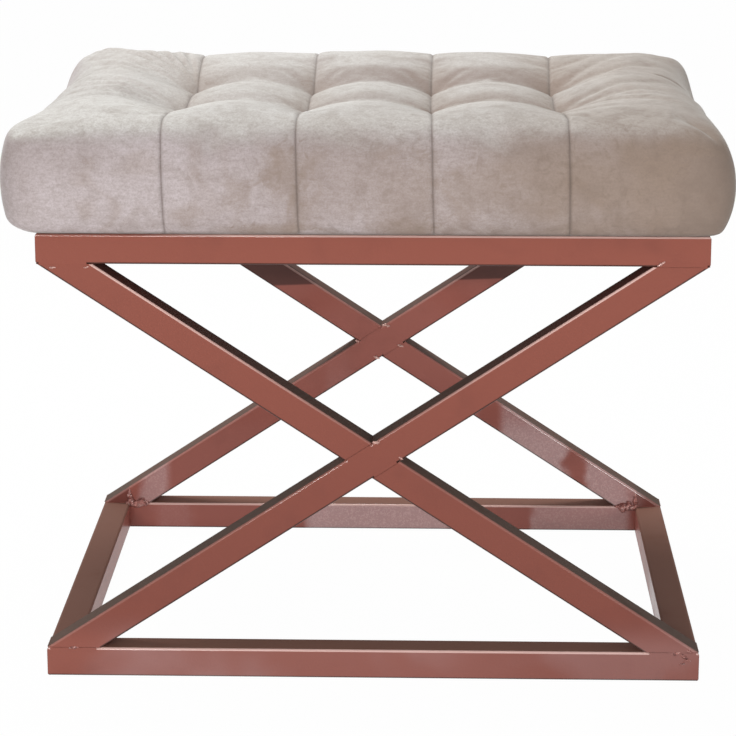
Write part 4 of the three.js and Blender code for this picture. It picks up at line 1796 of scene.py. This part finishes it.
@dataclass
class VelvetCushion:
    """The tufted velvet seat: one padded form round the edge of its board."""

    effects: Effects
    form: SeatForm = field(default_factory=SeatForm)
    column_steps: int = 15
    end_column_steps: int = 25
    row_steps: int = 20
    end_row_steps: int = 27
    seam_line: float = 0.0025
    side_rings: int = 16
    seam_hold: float = 0.9
    pit_share: float = 0.80
    hidden_map: float = 0.4
    pressure: float = 3.0
    frames: int = 16
    growth: float = 0.004
    most_move: float = 0.006
    lean: float = -0.0045
    lean_starts: float = 0.007
    lean_grows: float = 0.080
    lean_growth: float = 0.45
    stiff_end: float = 0.25
    stiff_share: float = 0.45
    face_inset: float = 0.006
    face_fade: float = 0.05
    nudge_starts: float = 0.012
    groove_depth: float = 0.0013
    groove_width: float = 0.0013
    shade_width: float = 0.0009
    seen_fabric: tuple[float, float] = (0.37, 0.31)
    flat_top: tuple[float, float] = (0.245, 0.190)
    flat_rim: float = 0.03
    valley_start: float = 0.002
    valley_depth: float = 0.016

    def build(self) -> Piece:
        """Models, inflates and dresses the cushion.

        Returns:
            The cushion.
        """
        cushion = self._shell()
        self._inflate(cushion)
        self._hand_shape(cushion)
        apply_modifier(cushion, "SUBSURF", levels=1, render_levels=1)
        self._sew(cushion)
        smooth(cushion, 60.0)
        dress(cushion, Velvet().make(self.effects))
        carry(cushion)
        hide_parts("velvet_cover", "foam_pad")
        return cushion

    def _lines(self, seams: np.ndarray, half: float, steps: int, end_steps: int) -> np.ndarray:
        """Places the grid lines across the top, with one on every seam and one on each side of it.

        Args:
            seams: Where the seams lie.
            half: Half the top's side.
            steps: How many steps lie between two seams.
            end_steps: How many steps lie outside the outermost seams.

        Returns:
            The lines' places, in order.
        """
        inner = [np.linspace(a, b, steps, endpoint=False) for a, b in zip(seams[:-1], seams[1:])]
        left = np.linspace(-half, seams[0], end_steps, endpoint=False)
        right = np.linspace(seams[-1], half, end_steps + 1)
        beside = [seam + side * self.seam_line for seam in seams for side in (-1, 1)]
        return np.sort(np.concatenate([left, *inner, right, beside]))

    def _held_top(self, x: np.ndarray, y: np.ndarray) -> np.ndarray:
        """Says how firmly each point of the top is held, most at its pits.

        Args:
            x: Places along the seat.
            y: Places across the seat.

        Returns:
            Shares from 0 to 1.
        """
        form = self.form
        near_column = nearest(x, form.seams_x) < self.seam_line / 2
        near_row = nearest(y, form.seams_y) < self.seam_line / 2
        near_row &= np.abs(x) < form.seams_x[-1] + self.seam_line
        held = np.where(near_column | near_row, self.seam_hold, 0.0)
        sink = form.sink(x, form.seams_x, form.pitch_x) * form.sink(y, form.seams_y, form.pitch_y)
        held[sink > self.pit_share] = 1.0
        return held.reshape(-1)

    def _shell(self) -> Piece:
        """Models the closed form before it is inflated.

        Returns:
            The form.
        """
        form = self.form
        xs = self._lines(form.seams_x, form.top_x, self.column_steps, self.end_column_steps)
        ys = self._lines(form.seams_y, form.top_y, self.row_steps, self.end_row_steps)
        columns, rows = len(xs), len(ys)
        grid_x, grid_y = np.meshgrid(xs, ys)
        rim = np.zeros((rows, columns), bool)
        rim[[0, -1], :] = True
        rim[:, [0, -1]] = True
        spots = np.stack([form.fanned(grid_x, grid_y), grid_y], -1)
        spots[rim], _ = form.outline(grid_x[rim], grid_y[rim], form.top_x, form.top_y, form.corner)
        points = np.concatenate([spots, form.top_height(grid_x, grid_y)[..., None]], -1).reshape(-1, 3)
        spots[..., 0] -= form.fanned(grid_x, grid_y) - grid_x
        maps = spots.reshape(-1, 2)
        at = np.arange(rows * columns).reshape(rows, columns)
        ring = np.concatenate([at[0, :-1], at[:-1, -1], at[-1, :0:-1], at[:0:-1, 0]])
        faces = [(int(at[j, i]), int(at[j, i + 1]), int(at[j + 1, i + 1]), int(at[j + 1, i]))
                 for j in range(rows - 1) for i in range(columns - 1)]
        shell = Shell(points, maps, self._held_top(grid_x, grid_y), faces, ring)
        self._add_sides(shell, grid_x.reshape(-1)[ring], grid_y.reshape(-1)[ring], points[ring], maps[ring])
        shell.close(columns - 1, rows - 1)
        return shell.to_object("velvet_cushion")

    def _add_sides(self, shell: Shell, rim_x: np.ndarray, rim_y: np.ndarray, top_ring: np.ndarray,
                   top_map: np.ndarray) -> None:
        """Adds the sides, the hem under them and the walls round the board.

        Args:
            shell: The shell so far.
            rim_x: The rim's places on the top's plain rectangle.
            rim_y: The same, across.
            top_ring: The top's outermost points.
            top_map: Their places on the unrolled fabric.
        """
        form = self.form
        _, outward = form.outline(rim_x, rim_y, form.half_x, form.half_y, form.corner)
        at_seam = np.where(nearest(rim_x, form.seams_x) < self.seam_line / 2, self.seam_hold, 0.0)
        previous, arc = top_ring, np.zeros(len(top_ring))
        for step in range(1, self.side_rings + 1):
            level = self._side_ring(rim_x, rim_y, top_ring, math.pi * step / self.side_rings)
            arc = arc + np.linalg.norm(level - previous, axis=-1)
            previous = level
            held = np.maximum(at_seam, 1.0 if step >= self.side_rings - 1 else 0.0)
            shell.add_ring(level, top_map + outward * arc[:, None], held)
        hem = (form.half_x - form.hem_width, form.half_y - form.hem_width, form.hem_corner)
        board = (form.board_half_x, form.board_half_y, form.board_corner)
        for sides, height in ((hem, form.hem_bottom), (hem, form.hem_top), (board, form.hem_top),
                              (board, form.board_top)):
            place, _ = form.outline(rim_x, rim_y, *sides)
            points = np.concatenate([place, np.full((len(place), 1), height)], -1)
            shell.add_ring(points, place + outward * self.hidden_map, np.ones(len(place)))

    def _side_ring(self, rim_x: np.ndarray, rim_y: np.ndarray, top_ring: np.ndarray,
                   angle: float) -> np.ndarray:
        """Places one ring of points round the seat's sides.

        Args:
            rim_x: The ring's places on the top's plain rectangle.
            rim_y: The same, across.
            top_ring: The top's outermost points.
            angle: From 0 at the top through a quarter turn at the bulge to a half turn at the hem.

        Returns:
            The ring's points.
        """
        form = self.form
        bottom, outward = form.outline(rim_x, rim_y, form.half_x, form.half_y, form.corner)
        on_front = np.abs(outward[:, 1]) > np.abs(outward[:, 0])
        at_seam = np.where(on_front, form.sink(rim_x, form.seams_x, form.pitch_x), 0.0)
        out = form.bulge - form.side_seam * at_seam
        bulged, _ = form.outline(rim_x, rim_y, form.half_x + out, form.half_y + out, form.corner + out)
        upper = math.cos(angle) > 0
        base = top_ring[:, :2] if upper else bottom
        reach = abs(math.sin(angle)) ** form.squareness
        lift = math.copysign(abs(math.cos(angle)) ** form.squareness, math.cos(angle))
        below = np.full(len(base), form.bulge_level - form.hem_bottom)
        rise = top_ring[:, 2] - form.bulge_level if upper else below
        return np.concatenate([base + (bulged - base) * reach, (form.bulge_level + rise * lift)[:, None]], -1)

    def _inflate(self, cushion: Piece) -> None:
        """Fills the cushion by cloth simulation, held at its tufts and its hem.

        Args:
            cushion: The form; its points move by the result, up to a limit.
        """
        scene = bpy.context.scene
        rest = read_points(cushion)
        twin = cushion.copy()
        twin.data = cushion.data.copy()
        scene.collection.objects.link(twin)
        modifier = twin.modifiers.new("Fill", "CLOTH")
        cloth = modifier.settings
        cloth.quality = 5
        cloth.mass = 0.25
        cloth.tension_stiffness = 14.0
        cloth.compression_stiffness = 10.0
        cloth.shear_stiffness = 6.0
        cloth.bending_stiffness = 0.35
        cloth.shrink_min = -self.growth
        cloth.use_pressure = True
        cloth.uniform_pressure_force = self.pressure
        cloth.vertex_group_mass = "held"
        cloth.pin_stiffness = 1.0
        cloth.effector_weights.gravity = 0.0
        modifier.collision_settings.use_collision = False
        modifier.collision_settings.use_self_collision = False
        modifier.point_cache.frame_start = 1
        modifier.point_cache.frame_end = self.frames
        for number in range(1, self.frames + 1):
            scene.frame_set(number)
        make_active(twin)
        bpy.ops.object.modifier_apply(modifier=modifier.name)
        move = read_points(twin) - rest
        bpy.data.objects.remove(twin)
        scene.frame_set(1)
        length = np.linalg.norm(move, axis=-1, keepdims=True)
        move *= np.minimum(1.0, self.most_move / np.maximum(length, 1e-9))
        LOG.info("cushion filled: most move %.1f mm, mean %.1f mm", 1000 * length.max(), 1000 * length.mean())
        write_points(cushion, rest + move)

    def _hand_shape(self, cushion: Piece) -> None:
        """Leans the fabric to one end and pushes it at the places that the maker's hand left.

        Args:
            cushion: The cushion, whose points move.
        """
        form = self.form
        points = read_points(cushion)
        skin = self._is_skin(points)
        height = points[:, 2] - form.hem_bottom
        growth = 1 + self.lean_growth * limited(height / self.lean_grows)
        above = limited(height / self.lean_starts) * growth
        inside = limited((form.board_half_x - self.face_inset - np.abs(points[:, 0])) / self.face_fade)
        on_face = np.abs(points[:, 1]) > form.board_half_y + 0.0005
        share = np.where(skin, np.maximum(above, np.where(on_face, inside, 0.0)), 0.0)
        stiffer = 1 - self.stiff_share * limited(points[:, 0] / self.stiff_end)
        points[:, 0] += self.lean * stiffer * share
        for nudge in NUDGES:
            loose = limited((points[:, 2:] - form.hem_bottom) / self.nudge_starts)
            loose = loose * self._is_skin(points)[:, None]
            points += nudge.push(points, loose)
        write_points(cushion, points)

    def _is_skin(self, points: np.ndarray) -> np.ndarray:
        """Says which points lie on the outer skin, and not round the board.

        Args:
            points: The cushion's points.

        Returns:
            True or False for each point.
        """
        slack = 0.0002
        in_x = np.abs(points[:, 0]) <= self.form.board_half_x + slack
        in_y = np.abs(points[:, 1]) <= self.form.board_half_y + slack
        return ~(in_x & in_y & (points[:, 2] <= self.form.board_top + slack))

    def _sew(self, cushion: Piece) -> None:
        """Presses in the seams and folds, and marks the seams and the valleys' painted shade for the
        material.

        Args:
            cushion: The cushion, whose points move.
        """
        form = self.form
        mesh = cushion.data
        points = read_points(cushion)
        flat = np.zeros(len(mesh.loops) * 2, np.float32)
        mesh.uv_layers["fabric"].data.foreach_get("uv", flat)
        fabric = np.zeros((len(points), 2))
        fabric[corner_points(mesh)] = flat.reshape(-1, 2)
        normals = np.zeros(len(points) * 3, np.float32)
        mesh.vertex_normals.foreach_get("vector", normals)
        outside = (points[:, 2] > form.hem_bottom + 0.0004) & (np.abs(fabric) < self.seen_fabric).all(-1)
        inner = np.abs(fabric[:, 0]) < form.seams_x[-1]
        row = np.where(inner, nearest(fabric[:, 1], form.seams_y), 1.0)
        seam = np.minimum(nearest(fabric[:, 0], form.seams_x), row)
        groove = self.groove_depth * np.exp(-(seam / self.groove_width) ** 2)
        push = np.where(outside, groove + sum(fold.press(fabric) for fold in FOLDS), 0.0)
        write_points(cushion, points - normals.reshape(-1, 3).astype(float) * push[:, None])
        shade = np.where(outside, np.exp(-(seam / self.shade_width) ** 2), 0.0)
        # Painted shade in the valleys: how far each point lies below the crests, on the flat of the top.
        below = smooth_curve(form.crests, np.clip(points[:, 1], -0.19, 0.19)) - points[:, 2]
        flat_part = limited((self.flat_top - np.abs(points[:, :2])) / self.flat_rim).prod(-1)
        valley_shade = np.where(outside, limited((below - self.valley_start) / self.valley_depth) * flat_part, 0.0)
        for label, values in (("seam", shade), ("valley_shade", valley_shade)):
            mark = mesh.attributes.new(label, "FLOAT", "POINT")
            mark.data.foreach_set("value", values.astype(np.float32))


@dataclass
class SeatUnderside:
    """The lining under the seat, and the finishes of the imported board, screws and ties."""

    effects: Effects
    half_x: float = 0.265
    half_y: float = 0.1975
    level: float = 0.3776
    thickness: float = 0.0005
    sag: float = 0.0012
    ripple: float = 0.25

    def build(self) -> list[Piece]:
        """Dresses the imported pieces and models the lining.

        Returns:
            The new pieces.
        """
        finishes = {"seat_board": Plywood(), "seat_screw": Zinc(), "tuft_tie": Twine()}
        for start, finish in finishes.items():
            material = finish.make(self.effects)
            for name, node in frame["nodes"].items():
                if name.startswith(start):
                    dress(node, material)
        return [self._lining()]

    def _lining(self) -> Piece:
        """Models the stretched lining as a thin sheet with a slight sag.

        Returns:
            The lining.
        """
        deselect_all()
        bpy.ops.mesh.primitive_grid_add(x_subdivisions=48, y_subdivisions=36, size=1.0,
                                        location=(0.0, 0.0, self.level))
        lining = named(bpy.context.object, "under_lining")
        lining.scale = (2 * self.half_x, 2 * self.half_y, 1.0)
        apply_place(lining)
        points = read_points(lining)
        free_x, free_y = SIZES.width / 2 - SIZES.tube, SIZES.depth / 2 - SIZES.tube
        hang = limited(1 - (points[:, 0] / free_x) ** 2) * limited(1 - (points[:, 1] / free_y) ** 2)
        ripple = self.ripple * np.sin(points[:, 0] * 61) * np.sin(points[:, 1] * 47 + 0.6)
        points[:, 2] -= self.sag * hang * (1 + ripple)
        write_points(lining, points)
        apply_modifier(lining, "SOLIDIFY", thickness=self.thickness, offset=0.0)
        smooth(lining, 50.0)
        dress(lining, LiningCloth().make(self.effects))
        carry(lining)
        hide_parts("seat_lining")
        return lining


# The studio


@dataclass(frozen=True)
class Viewpoint:
    """Where the photograph was taken from, with its angles in degrees."""

    location: Place = (0.0506, -2.2315, 0.8278)
    pitch: float = 13.022
    yaw: float = -1.518
    roll: float = -0.038
    focal_px: float = 2606.6
    image_px: float = 736.0
    centre_row: float = 258.0
    sensor: float = 36.0

    def build(self) -> None:
        """Makes the scene's camera."""
        data = bpy.data.cameras.new("photo_camera")
        data.sensor_width = self.sensor
        data.lens = self.focal_px / self.image_px * self.sensor
        data.shift_y = (self.centre_row - self.image_px / 2) / self.image_px
        data.clip_end = 50.0
        camera = bpy.data.objects.new("photo_camera", data)
        bpy.context.scene.collection.objects.link(camera)
        level = Matrix(((1, 0, 0), (0, 0, -1), (0, 1, 0)))
        roll, pitch, yaw = (math.radians(degrees) for degrees in (self.roll, self.pitch, self.yaw))
        turn = (Matrix.Rotation(roll, 3, "Z") @ Matrix.Rotation(pitch, 3, "X") @ level
                @ Matrix.Rotation(yaw, 3, "Z"))
        axes = Matrix((turn[0], -turn[1], -turn[2])).transposed()
        camera.matrix_world = Matrix.Translation(self.location) @ axes.to_4x4()
        bpy.context.scene.camera = camera


@dataclass(frozen=True)
class Softbox:
    """One large soft white lamp."""

    name: str
    location: Place
    aim: Place
    size: tuple[float, float]
    watts: float

    def build(self) -> None:
        """Hangs the lamp and aims it."""
        data = bpy.data.lights.new(self.name, "AREA")
        data.shape = "RECTANGLE"
        data.size, data.size_y = self.size
        data.energy = self.watts
        lamp = bpy.data.objects.new(self.name, data)
        lamp.location = self.location
        lamp.rotation_euler = (Vector(self.aim) - Vector(self.location)).to_track_quat("-Z", "Y").to_euler()
        bpy.context.scene.collection.objects.link(lamp)


@dataclass
class Studio:
    """A plain pale floor and backdrop with soft light."""

    world_level: float = 0.38
    floor_size: float = 14.0
    floor_grey: Colour = (0.85, 0.85, 0.85)
    floor_white: float = 0.985
    softboxes: tuple[Softbox, ...] = (
        Softbox("key_striplight", (-0.9, -2.7, 1.05), (0.0, 0.0, 0.30), (1.5, 0.04), 28.0),
        Softbox("fill_softbox", (1.5, -2.3, 0.35), (0.1, 0.1, 0.15), (1.2, 0.4), 14.0),
        Softbox("top_softbox", (-0.5, 0.8, 2.0), (0.0, 0.0, 0.45), (1.2, 0.5), 29.0))

    def build(self) -> None:
        """Sets the view, the world, the floor, the lamps and the camera."""
        bpy.context.scene.view_settings.view_transform = "Standard"
        self._world()
        self._floor()
        for softbox in self.softboxes:
            softbox.build()
        Viewpoint().build()

    @staticmethod
    def _seen(board: NodeBoard) -> Socket:
        """Gives 1 for the rays that see the background, straight, mirrored or through glass."""
        rays = board.add("ShaderNodeLightPath").outputs
        return board.most(rays["Is Camera Ray"], rays["Is Glossy Ray"], rays["Is Transmission Ray"])

    def _world(self) -> None:
        """Makes the white surroundings."""
        world = bpy.data.worlds.new("studio")
        bpy.context.scene.world = world
        world.use_nodes = True
        world.node_tree.nodes.clear()
        board = NodeBoard(world.node_tree)
        lit, white = (board.add("ShaderNodeBackground", {"Color": WHITE, "Strength": level}).outputs[0]
                      for level in (self.world_level, 1.0))
        both = board.add("ShaderNodeMixShader", {0: self._seen(board), 1: lit, 2: white})
        board.add("ShaderNodeOutputWorld", {"Surface": both.outputs[0]})

    def _floor(self) -> None:
        """Lays the pale floor, which keeps the stool's soft shadow."""
        deselect_all()
        bpy.ops.mesh.primitive_plane_add(size=self.floor_size)
        floor = named(bpy.context.object, "studio_floor")
        material, board, shader = new_material("pale_floor")
        board.join(shader, {"Base Color": opaque(self.floor_grey), "Roughness": 0.9,
                            "Specular IOR Level": 0.1})
        white = board.add("ShaderNodeEmission", {"Color": WHITE, "Strength": 1.0})
        share = board.times(self._seen(board), self.floor_white)
        both = board.add("ShaderNodeMixShader", {0: share, 1: shader.outputs["BSDF"], 2: white.outputs[0]})
        board.join(board.tree.nodes["Material Output"], {"Surface": both.outputs[0]})
        dress(floor, material)


def main() -> None:
    """Builds the studio and the stool, and reports each piece."""
    logging.basicConfig(level=logging.INFO, format="%(message)s", stream=sys.stdout)
    deselect_all()
    Studio().build()
    effects = Effects()
    pieces = WeldedFrame(effects).build()
    pieces.append(VelvetCushion(effects).build())
    pieces += SeatUnderside(effects).build()
    for piece in pieces:
        LOG.info("%s: %d faces", piece.name, len(piece.data.polygons))


if __name__ == "__main__":
    main()
